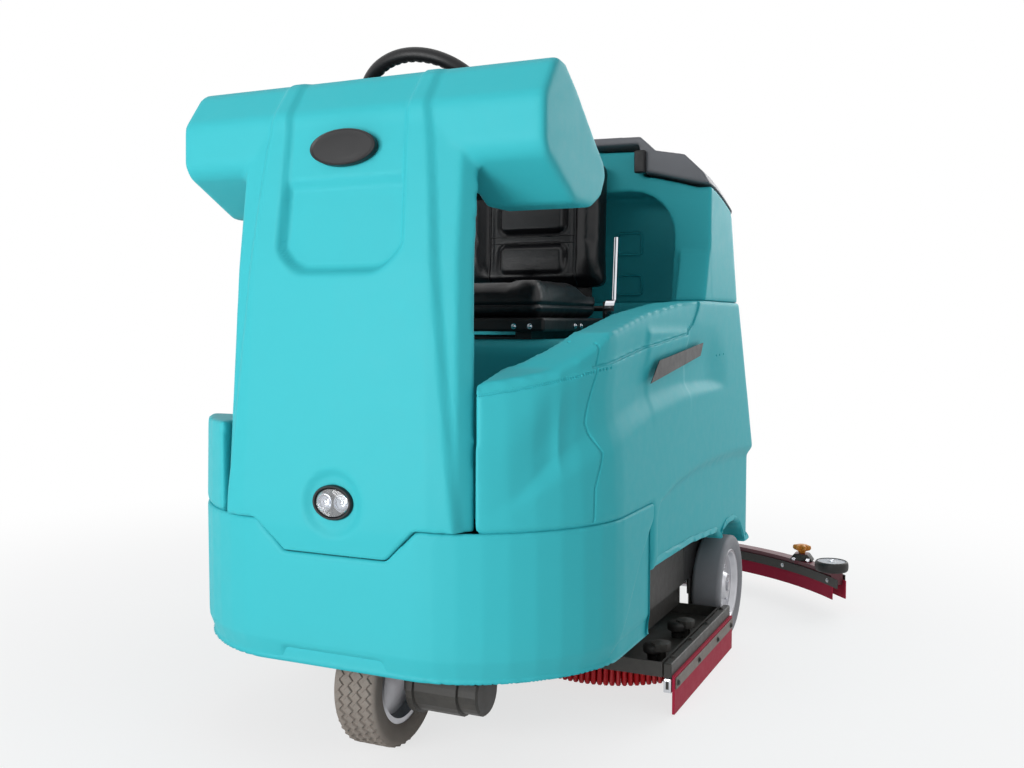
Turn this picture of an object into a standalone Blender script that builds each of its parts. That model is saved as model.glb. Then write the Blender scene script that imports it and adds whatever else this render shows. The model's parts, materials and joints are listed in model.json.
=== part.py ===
"""Ride-on floor scrubber. Metres, +Z up, front towards -Y, floor at Z = 0.

Every shape is first drawn with Y = 0 at the front wheel's steering axis. The root empty then moves
the whole machine along Y, so that the world origin is at the middle of the length and the width.
"""

import math

import bmesh
import bpy
from mathutils import Matrix, Vector

# Driving dimensions -------------------------------------------------------------------------
GAP = 0.0003  # between pieces that touch
RUN = 0.0005  # running clearance around a shaft
WALL = 0.013  # moulded shell
SHEET = 0.004  # folded steel sheet

HALF_WIDTH = 0.490  # body, at its sides
RIM_HALF_WIDTH = 0.475  # body, at its top
FRONT_Y = -0.200  # foremost line of the bumper
CORNER_DEPTH = 0.30  # length over which the nose rounds into the sides
CORNER_INSET = 0.31  # width over which it does so
REAR_LOW_Y = 1.400  # rear face below the slope
REAR_SLOPE_Z = 0.500
REAR_TOP_Y = 1.175  # rear face at the shoulder of the tank
SHOULDER_Z = 1.190
REAR_CORNER = 0.130

SEAM_Z = 0.500  # bumper to cowl and body
NOTCH_Z = 0.438  # the cowl's tongue in the bumper
NOTCH_HALF = 0.118
NOTCH_TOP_HALF = 0.182
BUMPER_BOTTOM_Z = 0.212
BUMPER_REAR_Y = 0.300
SKIRT_FRONT_Z = 0.370
SKIRT_REAR_Z = 0.332
SKIRT_REAR_Y = 0.810
REAR_BOTTOM_Z = 0.238
ARCH_FRONT_Y = 0.905

FLOOR_Z = 0.415  # footwell floor
FLOOR_THICK = 0.015
COCKPIT_HALF = 0.385
COCKPIT_FRONT_Y = -0.060
COCKPIT_REAR_Y = 0.705
SHELF_REAR_Y = 0.905  # the seat back's room ends here
SHELF_Z = 0.850
RIM_FRONT_Z = 0.800
RIM_SIDE_Z = 0.869
RIM_REAR_Z = 0.945
SHOULDER_LOW_Z = 0.685  # front shoulder beside the entry
STEP_Z = 0.440
STEP_Y = (0.035, 0.300)
DECK_TOP_Z = 0.945  # the body's top under the tank

COWL_TOP_Z = 1.380
COWL_TOP_Y = -0.0665
COWL_HALF = 0.270
COWL_FOOT_HALF = 0.285
COWL_REAR_HALF = 0.205
COWL_REAR_Y = -0.045
WING_HALF = 0.415
WING_ROOT_Z = 1.172
WING_TIP_Z = 1.212

TANK_FRONT_Y = 0.835
TANK_UNDERCUT = 0.025
UNDERCUT_TOP_Z = 1.095
TANK_FLARE = 0.045  # the foot in front of the tank, beside the seat
FLARE_TOP_Z = 1.075
TANK_HALF = 0.470
RECESS_HALF = 0.372
RECESS_TOP_Z = 1.238
RECESS_REAR_Y = 0.985
LID_FRONT_Y = 0.815
LID_HINGE = (0.0, 1.182, 1.200)
LID_GAP = 0.006
ROOF = ((0.0, 1.384), (0.283, 1.378), (0.323, 1.340), (0.403, 1.325), (0.454, 1.276), (TANK_HALF, 1.249))
LID_INSIDE = ((0.0, 1.364), (0.279, 1.358), (0.291, 1.286), (0.320, 1.281), (0.396, 1.262), (0.452, 1.249))
TANK_ROOF = ((0.0, 1.350), (0.273, 1.344), (0.285, 1.278), (0.320, 1.273), (0.396, 1.254), (0.434, 1.249 - LID_GAP))
ROOF_DROP = 0.085  # fall of the roof's side from its front edge to its rear edge
ROOF_CREST_DROP = 0.030

WHEELBASE = 1.067
REAR_WHEEL_R = 0.143
REAR_WHEEL_X = (0.401, 0.481)
ARCH_R = 0.186
AXLE_R = 0.015
DRIVE_WHEEL_R = 0.140
DRIVE_WHEEL_HALF = 0.050
DRIVE_MOTOR_R = 0.055
DRIVE_MOTOR_END = 0.235
FORK_X = 0.066
FORK_TOP_Z = 0.325
TURNTABLE_R = 0.130
SPROCKET_BIG_R = 0.090
STEER_RATIO = 4.0
STEER_SHAFT_Y = -0.122
STEER_SHAFT_R = 0.012
CHAIN_Z = (0.341, 0.353)
CHAIN_THICK = 0.005

STEER_WHEEL_R = 0.160
STEER_RIM_R = 0.0155
STEER_CENTRE = (0.0, 0.199, 1.3355)
STEER_TILT = math.radians(50)

RAIL_X = (0.355, 0.395)
RAIL_Z = (0.340, FLOOR_Z - FLOOR_THICK - GAP)
RAIL_Y = (-0.150, 1.330)

HOOD_HALF = 0.372
HOOD_Y = (0.285, 0.695)
HOOD_TOP_Z = 0.850
HOOD_ROUND = 0.035
BATTERY_TOP_Z = 0.735
SEAT_HALF = 0.225
SEAT_Y = (0.300, 0.745)
PAN_Z = (0.868, 0.900)
CUSHION_TOP_Z = 0.972
CUSHION_REAR_Y = 0.712
BACK_HINGE = (0.0, 0.728, 0.925)
BACK_HALF = 0.215
BACK_LENGTH = 0.355
BACK_THICK = (0.022, 0.082)  # front and back face, measured from the hinge
BACK_LEAN = math.radians(2)

BRUSH_X = 0.245
BRUSH_Y = 0.735
BRUSH_R = 0.240
BRUSH_LOW_Z = 0.004
DECK_Z = 0.086
DECK_RIM_Z = 0.120
DECK_Y = (0.392, 0.913)
DECK_HALF = 0.483
GUARD_X = (0.4865, 0.5055)
GUARD_Y = (0.388, 0.945)
BLADE_LOW_Z = 0.003
BLADE_THICK = 0.006
BRUSH_MOTOR_R = 0.058
BRUSH_MOTOR_TOP_Z = 0.300
DECK_LIFT = 0.060
POST_X = 0.300
POST_Y = DECK_Y[0] + 0.030
POST_R = 0.010
GUIDE_Z = (0.285, 0.345)

SQUEEGEE_R = 0.907  # arc of the front blade
SQUEEGEE_CENTRE_Y = 0.8535
SQUEEGEE_TIP_X = 0.7445
SQUEEGEE_LOW_Z = 0.045  # carried clear of the floor
SQUEEGEE_BLADE = 0.055
SQUEEGEE_DEPTH = 0.045
CHANNEL_Z = (0.086, 0.126)
ROLLER_R = 0.050
ROLLER_Z = (0.1275, 0.1575)
ROLLER_X = 0.700
KNOB_X = 0.590
ARM_HINGE = (0.0, 1.345, 0.200)
ARM_END = (0.0, 1.560, 0.185)

EMBLEM = (0.074, 0.036)  # half width and half height
EMBLEM_Z = 1.227
HEADLIGHT_Z = 0.542
HEADLIGHT_R = 0.038
BEZEL_LIP = 0.008

REAR_END_Y = SQUEEGEE_CENTRE_Y + SQUEEGEE_R + SQUEEGEE_DEPTH
FRONT_END_Y = FRONT_Y + 0.001 - BEZEL_LIP  # foremost point of the headlight bezel
MIDDLE_Y = (FRONT_END_Y + REAR_END_Y) / 2

MATERIALS = {
    "teal": ((0.060, 0.560, 0.600), 0.45, 0.0),
    "lid_grey": ((0.130, 0.130, 0.140), 0.55, 0.0),
    "black": ((0.015, 0.015, 0.017), 0.55, 0.0),
    "black_steel": ((0.020, 0.020, 0.022), 0.40, 0.6),
    "steel": ((0.550, 0.560, 0.580), 0.35, 1.0),
    "chrome": ((0.800, 0.800, 0.820), 0.12, 1.0),
    "vinyl": ((0.018, 0.018, 0.022), 0.50, 0.0),
    "tread": ((0.350, 0.310, 0.285), 0.80, 0.0),
    "grey_tyre": ((0.240, 0.240, 0.250), 0.70, 0.0),
    "red_rubber": ((0.520, 0.030, 0.085), 0.50, 0.0),
    "red_bristle": ((0.580, 0.010, 0.020), 0.60, 0.0),
    "maroon": ((0.120, 0.010, 0.030), 0.40, 0.3),
    "orange": ((0.750, 0.300, 0.030), 0.45, 0.0),
    "lamp": ((0.800, 0.820, 0.850), 0.10, 0.6),
    "battery": ((0.060, 0.065, 0.075), 0.60, 0.0),
    "stop_red": ((0.600, 0.015, 0.015), 0.40, 0.0),
}


# Scene and shape helpers --------------------------------------------------------------------
def clear_scene():
    for obj in list(bpy.data.objects):
        bpy.data.objects.remove(obj, do_unlink=True)


def make_material(name):
    colour, roughness, metallic = MATERIALS[name]
    material = bpy.data.materials.new(name)
    material.use_nodes = True
    shader = material.node_tree.nodes["Principled BSDF"]
    shader.inputs["Base Color"].default_value = (*colour, 1.0)
    shader.inputs["Roughness"].default_value = roughness
    shader.inputs["Metallic"].default_value = metallic
    material.diffuse_color = (*colour, 1.0)
    return material


def new_object(name, bm, material):
    """An object with its own material, its faces pointing out."""
    bmesh.ops.remove_doubles(bm, verts=bm.verts, dist=0.00001)
    bmesh.ops.recalc_face_normals(bm, faces=bm.faces)
    mesh = bpy.data.meshes.new(name)
    bm.to_mesh(mesh)
    bm.free()
    mesh.materials.append(make_material(material))
    obj = bpy.data.objects.new(name, mesh)
    bpy.context.scene.collection.objects.link(obj)
    return obj


def loft(name, rings, material="black"):
    """A closed solid through rings of equally many points, with a flat cap at each end."""
    bm = bmesh.new()
    rows = [[bm.verts.new(point) for point in ring] for ring in rings]
    for low, high in zip(rows, rows[1:]):
        for i in range(len(low)):
            j = (i + 1) % len(low)
            bm.faces.new((low[i], low[j], high[j], high[i]))
    bm.faces.new(rows[0])
    bm.faces.new(rows[-1])
    return new_object(name, bm, material)


def prism(name, outline, low, high, axis, material="black"):
    """An outline extruded along an axis. Its two numbers are the other two coordinates, in order."""

    def at(point, depth):
        coordinates = list(point)
        coordinates.insert(axis, depth)
        return coordinates

    return loft(name, [[at(p, low) for p in outline], [at(p, high) for p in outline]], material)


def box(name, low, high, material="black", bevel=0.0, segments=2):
    bm = bmesh.new()
    size = [b - a for a, b in zip(low, high)]
    middle = [(a + b) / 2 for a, b in zip(low, high)]
    bmesh.ops.create_cube(bm, size=1.0)
    bmesh.ops.transform(bm, matrix=Matrix.Translation(middle) @ Matrix.Diagonal((*size, 1.0)), verts=bm.verts)
    if bevel:
        bmesh.ops.bevel(bm, geom=bm.edges[:], offset=bevel, segments=segments, affect="EDGES", profile=0.5)
    return new_object(name, bm, material)


def turned(name, profile, centre, axis="Z", steps=24, material="black"):
    """A closed profile of (radius, height) points, turned round an axis through the centre."""
    turn = {
        "Z": Matrix.Identity(3),
        "X": Matrix.Rotation(math.radians(90), 3, "Y"),
        "Y": Matrix.Rotation(math.radians(-90), 3, "X"),
    }[axis]
    bm = bmesh.new()
    columns = []
    for k in range(steps):
        angle = math.tau * k / steps
        column = []
        for radius, height in profile:
            point = Vector((radius * math.cos(angle), radius * math.sin(angle), height))
            column.append(bm.verts.new(Vector(centre) + turn @ point))
        columns.append(column)
    for k in range(steps):
        a, b = columns[k], columns[(k + 1) % steps]
        for i in range(len(profile)):
            j = (i + 1) % len(profile)
            on_axis = (profile[i][0] == 0.0, profile[j][0] == 0.0)
            if on_axis == (True, True):
                continue
            corners = (a[i], a[j], b[j], b[i])
            if on_axis[0]:
                corners = (a[i], a[j], b[j])
            if on_axis[1]:
                corners = (a[i], a[j], b[i])
            bm.faces.new(corners)
    loose = [v for v in bm.verts if not v.link_faces]
    bmesh.ops.delete(bm, geom=loose, context="VERTS")
    obj = new_object(name, bm, material)
    smooth(obj)
    return obj


def rod(name, start, end, radius, material="steel", steps=16, bore=0.0):
    """A round bar between two points, or a tube when it has a bore."""
    start, end = Vector(start), Vector(end)
    length = (end - start).length
    profile = [(bore, 0.0), (radius, 0.0), (radius, length), (bore, length)]
    obj = turned(name, profile, (0, 0, 0), "Z", steps, material)
    turn = Vector((0, 0, 1)).rotation_difference(end - start).to_matrix().to_4x4()
    obj.data.transform(Matrix.Translation(start) @ turn)
    return obj


def smooth(obj, angle=35):
    obj.data.shade_smooth()
    obj.data.set_sharp_from_angle(angle=math.radians(angle))


def soften(obj, width, segments=2, angle=30):
    """Rounded edges, wherever two faces meet at more than the angle."""
    modifier = obj.modifiers.new("soften", "BEVEL")
    modifier.width = width
    modifier.segments = segments
    modifier.limit_method = "ANGLE"
    modifier.angle_limit = math.radians(angle)
    modifier.harden_normals = False
    bake(obj)


def bake(obj):
    """Replaces the object's mesh by its evaluated one, with no modifiers left."""
    graph = bpy.context.evaluated_depsgraph_get()
    mesh = bpy.data.meshes.new_from_object(obj.evaluated_get(graph))
    obj.modifiers.clear()
    obj.data = mesh


def combine(target, tools, operation):
    """Boolean of the target with each tool in turn. The tools are used up."""
    for tool in tools:
        modifier = target.modifiers.new(operation.lower(), "BOOLEAN")
        modifier.operation = operation
        modifier.solver = "EXACT"
        modifier.object = tool
        bake(target)
        bpy.data.objects.remove(tool, do_unlink=True)
    return target


def cut(target, *tools):
    return combine(target, tools, "DIFFERENCE")


def join(target, *tools):
    return combine(target, tools, "UNION")


def mirrored(obj, name):
    """A copy on the other side of the centre plane."""
    mesh = obj.data.copy()
    mesh.transform(Matrix.Diagonal((-1, 1, 1, 1)))
    mesh.flip_normals()
    mesh.materials.clear()
    mesh.materials.append(obj.data.materials[0].copy())
    other = bpy.data.objects.new(name, mesh)
    bpy.context.scene.collection.objects.link(other)
    return other


def pivot(point, *pieces):
    """Puts the origin of each piece on its joint's axis, with the shape left where it is."""
    for obj in pieces:
        obj.data.transform(Matrix.Translation(-Vector(point)))
        obj.location = point


def arc(centre, radius, start, end, steps):
    """Points on a circle, from one angle in degrees to another."""
    angles = [math.radians(start + (end - start) * k / steps) for k in range(steps + 1)]
    return [(centre[0] + radius * math.cos(a), centre[1] + radius * math.sin(a)) for a in angles]


def between(a, b, t):
    return a + (b - a) * t


def along(table, x):
    """Straight-line reading of y at x from a table of (x, y)."""
    for (x0, y0), (x1, y1) in zip(table, table[1:]):
        if x <= x1:
            return between(y0, y1, (x - x0) / (x1 - x0))
    return table[-1][1]


# Body outline ------------------------------------------------------------------------------
def nose_curve(inset=0.0, steps=10):
    """Plan of the nose, from its middle to the side, moved in by the inset."""
    power = 1.75
    reach, depth = CORNER_INSET - inset, CORNER_DEPTH - inset
    points = [(0.0, FRONT_Y + inset)]
    for k in range(steps + 1):
        angle = math.radians(90 * k / steps)
        x = HALF_WIDTH - CORNER_INSET + reach * math.sin(angle) ** (2 / power)
        y = FRONT_Y + CORNER_DEPTH - depth * math.cos(angle) ** (2 / power)
        points.append((x, y))
    return points


def rear_y(z):
    """Rear face of the body and the tank at a height."""
    return along(((0.0, REAR_LOW_Y), (REAR_SLOPE_Z, REAR_LOW_Y), (SHOULDER_Z, REAR_TOP_Y), (2.0, 0.93)), z)


def rear_round(z, half, corner, steps=6):
    """Plan of the rear right corner, from the side round to the back."""
    back = rear_y(z)
    return arc((half - corner, back - corner), corner, 0, 90, steps)


def body_ring(z):
    half = along(((0.0, HALF_WIDTH), (REAR_SLOPE_Z, HALF_WIDTH), (DECK_TOP_Z, RIM_HALF_WIDTH)), z)
    front = [(x * half / HALF_WIDTH, y) for x, y in nose_curve()]
    right = front + rear_round(z, half, REAR_CORNER)
    left = [(-x, y) for x, y in reversed(right) if x > 0]
    return [(x, y, z) for x, y in right + left]


def rim_cutter(side, profile):
    """Takes off everything above the side wall's top line, on one side of the centre plane."""
    top = 1.2
    outline = [(profile[0][0], top)] + list(profile) + [(profile[-1][0], top)]
    low, high = (0.001, 0.6) if side > 0 else (-0.6, 0.001)
    return prism("rim_cutter", outline, low, high, 0)


def make_base_body():
    body = loft("base_body", [body_ring(z) for z in (0.20, REAR_SLOPE_Z, DECK_TOP_Z)], "teal")
    right = ((-0.3, 0.765), (-0.14, 0.780), (-0.06, RIM_FRONT_Z), (0.075, RIM_SIDE_Z), (0.30, 0.908),
             (0.56, 0.935), (0.79, RIM_REAR_Z), (0.80, 1.0))
    left = ((-0.3, SHOULDER_LOW_Z), (0.0, SHOULDER_LOW_Z), (STEP_Y[0], STEP_Z), (STEP_Y[1], STEP_Z),
            (0.42, 0.890), (0.79, RIM_REAR_Z), (0.80, 1.0))
    cut(body, rim_cutter(1, right), rim_cutter(-1, left))
    under = FLOOR_Z - FLOOR_THICK
    skirt = [(-0.5, 0.0), (-0.5, under), (BUMPER_REAR_Y + GAP, under),
             (BUMPER_REAR_Y + GAP, SKIRT_FRONT_Z), (SKIRT_REAR_Y, SKIRT_REAR_Z), (ARCH_FRONT_Y, SKIRT_REAR_Z - 0.008),
             (WHEELBASE, REAR_BOTTOM_Z), (1.7, REAR_BOTTOM_Z), (1.7, 0.0)]
    cut(body, prism("skirt_cutter", skirt, -0.6, 0.6, 0))
    band = box("band", (-0.6, -0.5, 0.1), (0.6, BUMPER_REAR_Y + GAP, SEAM_Z + GAP))
    cut(band, loft("band_inner", [bumper_ring(z, WALL + GAP) for z in (0.0, 0.6)]))
    cut(body, band)
    cut(body, box("under_cutter", (-0.402, -0.5, 0.1), (0.402, REAR_LOW_Y - 0.03, under)))
    cut(body, box("nose_cutter", (-COCKPIT_HALF, -0.5, 0.1), (COCKPIT_HALF, 0.0, under + GAP)))
    cockpit = [(x, y) for x, y in nose_curve(HALF_WIDTH - COCKPIT_HALF) if x > 0.0]
    cockpit = [(x, max(y, COCKPIT_FRONT_Y)) for x, y in cockpit] + [(COCKPIT_HALF, COCKPIT_REAR_Y)]
    seen = []
    for point in [(-x, y) for x, y in reversed(cockpit)] + cockpit:
        if point not in seen:
            seen.append(point)
    cut(body, prism("cockpit_cutter", seen, FLOOR_Z, 1.3, 2))
    cowl_room = COWL_FOOT_HALF + 0.004
    cut(body, box("cowl_cutter", (-cowl_room, -0.5, under - 0.05), (cowl_room, COCKPIT_FRONT_Y + 0.02, 1.3)))
    cut(body, box("shelf_cutter", (-COCKPIT_HALF, COCKPIT_REAR_Y - 0.01, SHELF_Z), (COCKPIT_HALF, SHELF_REAR_Y, 1.3)))
    cut(body, box("low_cavity", (-0.44, COCKPIT_REAR_Y + 0.015, 0.43), (0.44, 1.165, SHELF_Z - 0.015)))
    cut(body, box("high_cavity", (-0.44, SHELF_REAR_Y + 0.015, 0.80), (0.44, 1.165, 1.3)))
    for side in (1, -1):
        xs = sorted((side * 0.404, side * (HALF_WIDTH - WALL)))
        cut(body, box("pod_cutter", (xs[0], 0.32, 0.1), (xs[1], 0.60, 0.86)))
        xs = sorted((side * 0.392, side * 0.6))
        arch = prism("arch_cutter", arc((WHEELBASE, REAR_WHEEL_R), ARCH_R, 0, 360, 32)[:-1], xs[0], xs[1], 0)
        cut(body, arch)
    smooth(body)
    return body


def bumper_ring(z, inset):
    right = nose_curve(inset) + [(HALF_WIDTH - inset, BUMPER_REAR_Y + (0.1 if inset else 0.0))]
    return [(x, y, z) for x, y in right + [(-x, y) for x, y in reversed(right) if x > 0]]


def make_bumper():
    bumper = loft("front_bumper", [bumper_ring(z, 0.0) for z in (BUMPER_BOTTOM_Z, SEAM_Z)], "teal")
    cut(bumper, loft("inner", [bumper_ring(z, WALL) for z in (0.1, 0.6)]))
    notch = [(-NOTCH_TOP_HALF, 0.6), (-NOTCH_TOP_HALF, SEAM_Z), (-NOTCH_HALF, NOTCH_Z), (NOTCH_HALF, NOTCH_Z),
             (NOTCH_TOP_HALF, SEAM_Z), (NOTCH_TOP_HALF, 0.6)]
    cut(bumper, prism("notch", notch, -0.4, 0.0, 1))
    lugs = []
    for side in (-1, 1):
        xs = sorted((side * (RAIL_X[1] + GAP), side * (HALF_WIDTH - WALL / 2)))
        lugs.append(box("lug", (xs[0], 0.22, 0.345), (xs[1], 0.26, 0.375)))
    join(bumper, *lugs)
    smooth(bumper)
    return bumper


# Front cowl --------------------------------------------------------------------------------
def cowl_front(z):
    return along(((0.0, -0.199), (0.55, -0.199), (1.0, -0.172), (1.225, -0.142), (1.30, -0.130),
                  (COWL_TOP_Z, COWL_TOP_Y)), z)


def column_ring(z, inset=0.0):
    front = cowl_front(z) + inset
    half = along(((0.0, COWL_FOOT_HALF), (0.5, COWL_FOOT_HALF), (1.10, COWL_HALF), (2.0, COWL_HALF)), z) - inset
    rear = COWL_REAR_Y if not inset else COWL_REAR_Y + 0.2
    right = [(0.0, front), (half - 0.075, front + 0.003), (half - 0.022, front + 0.014), (half, front + 0.045),
             (COWL_REAR_HALF - inset, COWL_REAR_Y), (COWL_REAR_HALF - inset, rear + 0.0001)]
    left = [(-x, y) for x, y in reversed(right) if x > 0]
    return [(x, y, z) for x, y in right + left]


def wing_profile(inset=0.0):
    """Side view of the wings: a wedge with a sloping back, as (y, z) points."""
    points = [(COWL_TOP_Y + 0.004, COWL_TOP_Z), (-0.025, COWL_TOP_Z - 0.004), (0.033, 1.338), (0.127, 1.262),
              (0.186, 1.217), (0.198, 1.188), (0.169, 1.143), (0.117, 1.118), (0.020, 1.118),
              (-0.118, WING_ROOT_Z + 0.02), (-0.134, WING_ROOT_Z + 0.045), (-0.132, 1.300), (-0.083, 1.365)]
    middle = Vector((0.02, 1.24))
    if not inset:
        return points
    moved = []
    for point in points:
        away = Vector(point) - middle
        moved.append(tuple(middle + away * (1 - inset / away.length * 1.25)))
    return moved


def make_cowl():
    levels = (NOTCH_Z + GAP, 0.55, 0.80, 1.00, 1.225, 1.30, COWL_TOP_Z - 0.004)
    cowl = loft("front_cowl", [column_ring(z) for z in levels], "teal")
    wing = prism("wing", wing_profile(), -WING_HALF, WING_HALF, 0)
    soften(wing, 0.012, 3, 25)
    join(cowl, wing)
    tongue = [(-0.6, 0.3), (-0.6, SEAM_Z + GAP), (-NOTCH_TOP_HALF, SEAM_Z + GAP), (-NOTCH_HALF, NOTCH_Z + GAP),
              (NOTCH_HALF, NOTCH_Z + GAP), (NOTCH_TOP_HALF, SEAM_Z + GAP), (0.6, SEAM_Z + GAP), (0.6, 0.3)]
    cut(cowl, prism("tongue_cutter", tongue, -0.5, 0.5, 1))
    inner_levels = (0.3, 0.55, 0.80, 1.00, 1.225, 1.30, COWL_TOP_Z - 0.03)
    cut(cowl, loft("inner_column", [column_ring(z, WALL) for z in inner_levels]))
    cut(cowl, prism("inner_wing", wing_profile(WALL), WALL - WING_HALF, WING_HALF - WALL, 0))
    window = box("window", (-0.225, -0.02, 1.10), (0.225, 0.25, 1.37))
    cut(cowl, window)
    lamp = turned("lamp_hole", [(0, -0.1), (0.0305, -0.1), (0.0305, 0.1), (0, 0.1)], (0, -0.2, HEADLIGHT_Z), "Y")
    cut(cowl, lamp)
    smooth(cowl)
    return cowl


def make_front_trim():
    z = HEADLIGHT_Z
    y = cowl_front(z)
    bezel = turned("headlight_bezel", [(0, 0.030), (0.030, 0.030), (0.030, -GAP), (HEADLIGHT_R, -GAP),
                                       (HEADLIGHT_R, -0.004), (HEADLIGHT_R - 0.005, -BEZEL_LIP), (0.030, -BEZEL_LIP),
                                       (0.0285, -0.001), (0, -0.001)], (0, y, z), "Y", 32, "black")
    lens = turned("headlight_lens", [(0, -0.0013), (0.0280, -0.0013), (0.0280, -0.005), (0, -0.0075)],
                  (0, y, z), "Y", 32, "lamp")
    plate = turned("emblem_plate", [(0, 0), (1, 0), (1, 0.003), (0.96, 0.004), (0, 0.004)], (0, 0, 0), "Z", 40)
    low, high = EMBLEM_Z - EMBLEM[1], EMBLEM_Z + EMBLEM[1]
    lean = math.atan2(cowl_front(high) - cowl_front(low), high - low)
    turn = Matrix.Rotation(math.radians(90) - lean, 4, "X")
    plate.data.transform(Matrix.Diagonal((EMBLEM[0], EMBLEM[1], 1, 1)))
    plate.data.transform(Matrix.Translation((0, cowl_front(EMBLEM_Z) - 0.0006, EMBLEM_Z)) @ turn)
    return bezel, lens, plate


def make_side_plate():
    outline = [(0.359, 0.805), (0.734, 0.838), (0.703, 0.806), (0.292, 0.758)]
    plate = prism("side_plate", outline, 0.0, 0.0015, 0, "black")
    lean = (HALF_WIDTH - RIM_HALF_WIDTH) / (DECK_TOP_Z - REAR_SLOPE_Z)
    for vertex in plate.data.vertices:
        vertex.co.x += HALF_WIDTH + GAP - lean * (vertex.co.z - REAR_SLOPE_Z)
    return plate


def make_side_panels():
    x = RAIL_X[1] + GAP
    outline = [(BUMPER_REAR_Y + 0.004, 0.188), (0.864, 0.188), (0.846, 0.396), (BUMPER_REAR_Y + 0.004, 0.396)]
    panel = prism("side_panel_left", outline, x, x + SHEET, 0, "black_steel")
    return panel, mirrored(panel, "side_panel_right")


# Dashboard and controls --------------------------------------------------------------------
DASH_START = Vector((0.0, -0.012, 1.366))
DASH_DIRECTION = Vector((0.0, 0.198, -0.158)).normalized()
DASH_NORMAL = Vector((0.0, 0.158, 0.198)).normalized()
STEER_AXIS = Vector((0.0, math.sin(STEER_TILT), math.cos(STEER_TILT)))


STOP_PLACE = (0.165, 0.060)
STOP_STEM_R = 0.010
KEY_PLACE = (-0.165, 0.060)
LEVER_PLACE = (-0.165, 0.150)
LEVER_BALL_R = 0.009


def dash_point(x, run, rise=0.0):
    return Vector((x, 0, 0)) + DASH_START + DASH_DIRECTION * run + DASH_NORMAL * rise


def make_dashboard():
    back = [dash_point(0, 0.004, -0.003), dash_point(0, 0.236, -0.003)]
    outline = [(p.y, p.z) for p in back] + [(0.176, 1.165), (0.155, 1.150), (-0.012, 1.345)]
    dash = prism("dashboard", outline, -0.2245, 0.2245, 0, "black")
    hub = Vector(STEER_CENTRE)
    hole = rod("hole", hub - STEER_AXIS * 0.05, hub - STEER_AXIS * 0.3, 0.0265)
    cut(dash, hole)
    stop_hole = turned("stop_hole", [(0, -0.009), (STOP_STEM_R + RUN, -0.009), (STOP_STEM_R + RUN, 0.02), (0, 0.02)],
                       (0, 0, 0), "Z", 20)
    stop_hole.data.transform(control_matrix(*STOP_PLACE))
    cut(dash, stop_hole)
    smooth(dash)
    return dash


def control_matrix(x, run):
    """Frame on the dashboard's face: +Z out of the face, +X across the machine."""
    out = DASH_NORMAL
    across = Vector((1, 0, 0))
    up = out.cross(across)
    rotation = Matrix((across, up, out)).transposed().to_4x4()
    return Matrix.Translation(dash_point(x, run, -0.003 + GAP)) @ rotation


def make_controls():
    stop = turned("emergency_stop", [(0, -0.001), (STOP_STEM_R, -0.001), (STOP_STEM_R, 0.014), (0.020, 0.016),
                                     (0.020, 0.024), (0.015, 0.028), (0, 0.028)], (0, 0, 0), "Z", 20, "stop_red")
    stop.data.transform(control_matrix(*STOP_PLACE))
    key = turned("key_switch", [(0, 0), (0.012, 0), (0.012, 0.006), (0, 0.006)], (0, 0, 0), "Z", 24, "steel")
    join(key, box("key_bow", (-0.0015, -0.009, 0.004), (0.0015, 0.009, 0.028)))
    key.data.transform(control_matrix(*KEY_PLACE))
    ball = [(r, LEVER_BALL_R + h) for r, h in arc((0, 0), LEVER_BALL_R, -90, 60, 8)]
    ball[0] = (0, 0)
    lever = turned("direction_lever", ball + [(0.004, 0.040), (0.009, 0.048), (0.009, 0.058), (0.005, 0.063),
                                              (0, 0.063)], (0, 0, 0), "Z", 16, "black")
    lever.data.transform(control_matrix(*LEVER_PLACE))
    return stop, key, lever


def make_steering():
    centre = Vector(STEER_CENTRE)
    turn = Vector((0, 0, 1)).rotation_difference(STEER_AXIS).to_matrix().to_4x4()
    rim_profile = [(STEER_WHEEL_R + x, z) for x, z in arc((0, 0), STEER_RIM_R, 0, 360, 8)[:-1]]
    wheel = turned("steering_wheel", rim_profile, (0, 0, 0), "Z", 32, "black")
    hub = turned("hub", [(0, -0.035), (0.028, -0.035), (0.040, -0.012), (0.036, -0.004), (0, -0.002)],
                 (0, 0, 0), "Z", 24)
    spokes = []
    for angle in (0, 90, 180):
        spoke = prism("spoke", [(0.02, -0.013), (STEER_WHEEL_R - 0.004, -0.010), (STEER_WHEEL_R - 0.004, 0.010),
                                (0.02, 0.013)], -0.014, -0.005, 2)
        spoke.data.transform(Matrix.Rotation(math.radians(angle), 4, "Z"))
        spokes.append(spoke)
    join(hub, *spokes)
    join(wheel, hub)
    wheel.data.transform(Matrix.Translation(centre) @ turn)
    smooth(wheel)
    reach = (centre.y - STEER_SHAFT_Y) / STEER_AXIS.y
    shaft = rod("steering_shaft", centre - STEER_AXIS * (0.035 + GAP), centre - STEER_AXIS * (reach - 0.022),
                STEER_SHAFT_R, "steel")
    column = rod("steering_column", centre - STEER_AXIS * 0.042, centre - STEER_AXIS * 0.250, 0.026, "black", 24,
                 STEER_SHAFT_R + RUN)
    foot = rod("column_foot", centre - STEER_AXIS * 0.200, centre - STEER_AXIS * 0.215, 0.034, "black", 24,
               0.020)
    join(column, foot)
    joint_z = centre.z - reach * STEER_AXIS.z
    drop = rod("steering_drop_shaft", (0, STEER_SHAFT_Y, joint_z - 0.014), (0, STEER_SHAFT_Y, CHAIN_Z[0]),
               STEER_SHAFT_R, "steel")
    small_r = SPROCKET_BIG_R / STEER_RATIO
    join(drop, turned("sprocket", [(0, CHAIN_Z[0]), (small_r, CHAIN_Z[0]), (small_r, CHAIN_Z[1]), (0, CHAIN_Z[1])],
                      (0, STEER_SHAFT_Y, 0), "Z", 24))
    return wheel, shaft, drop


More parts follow.
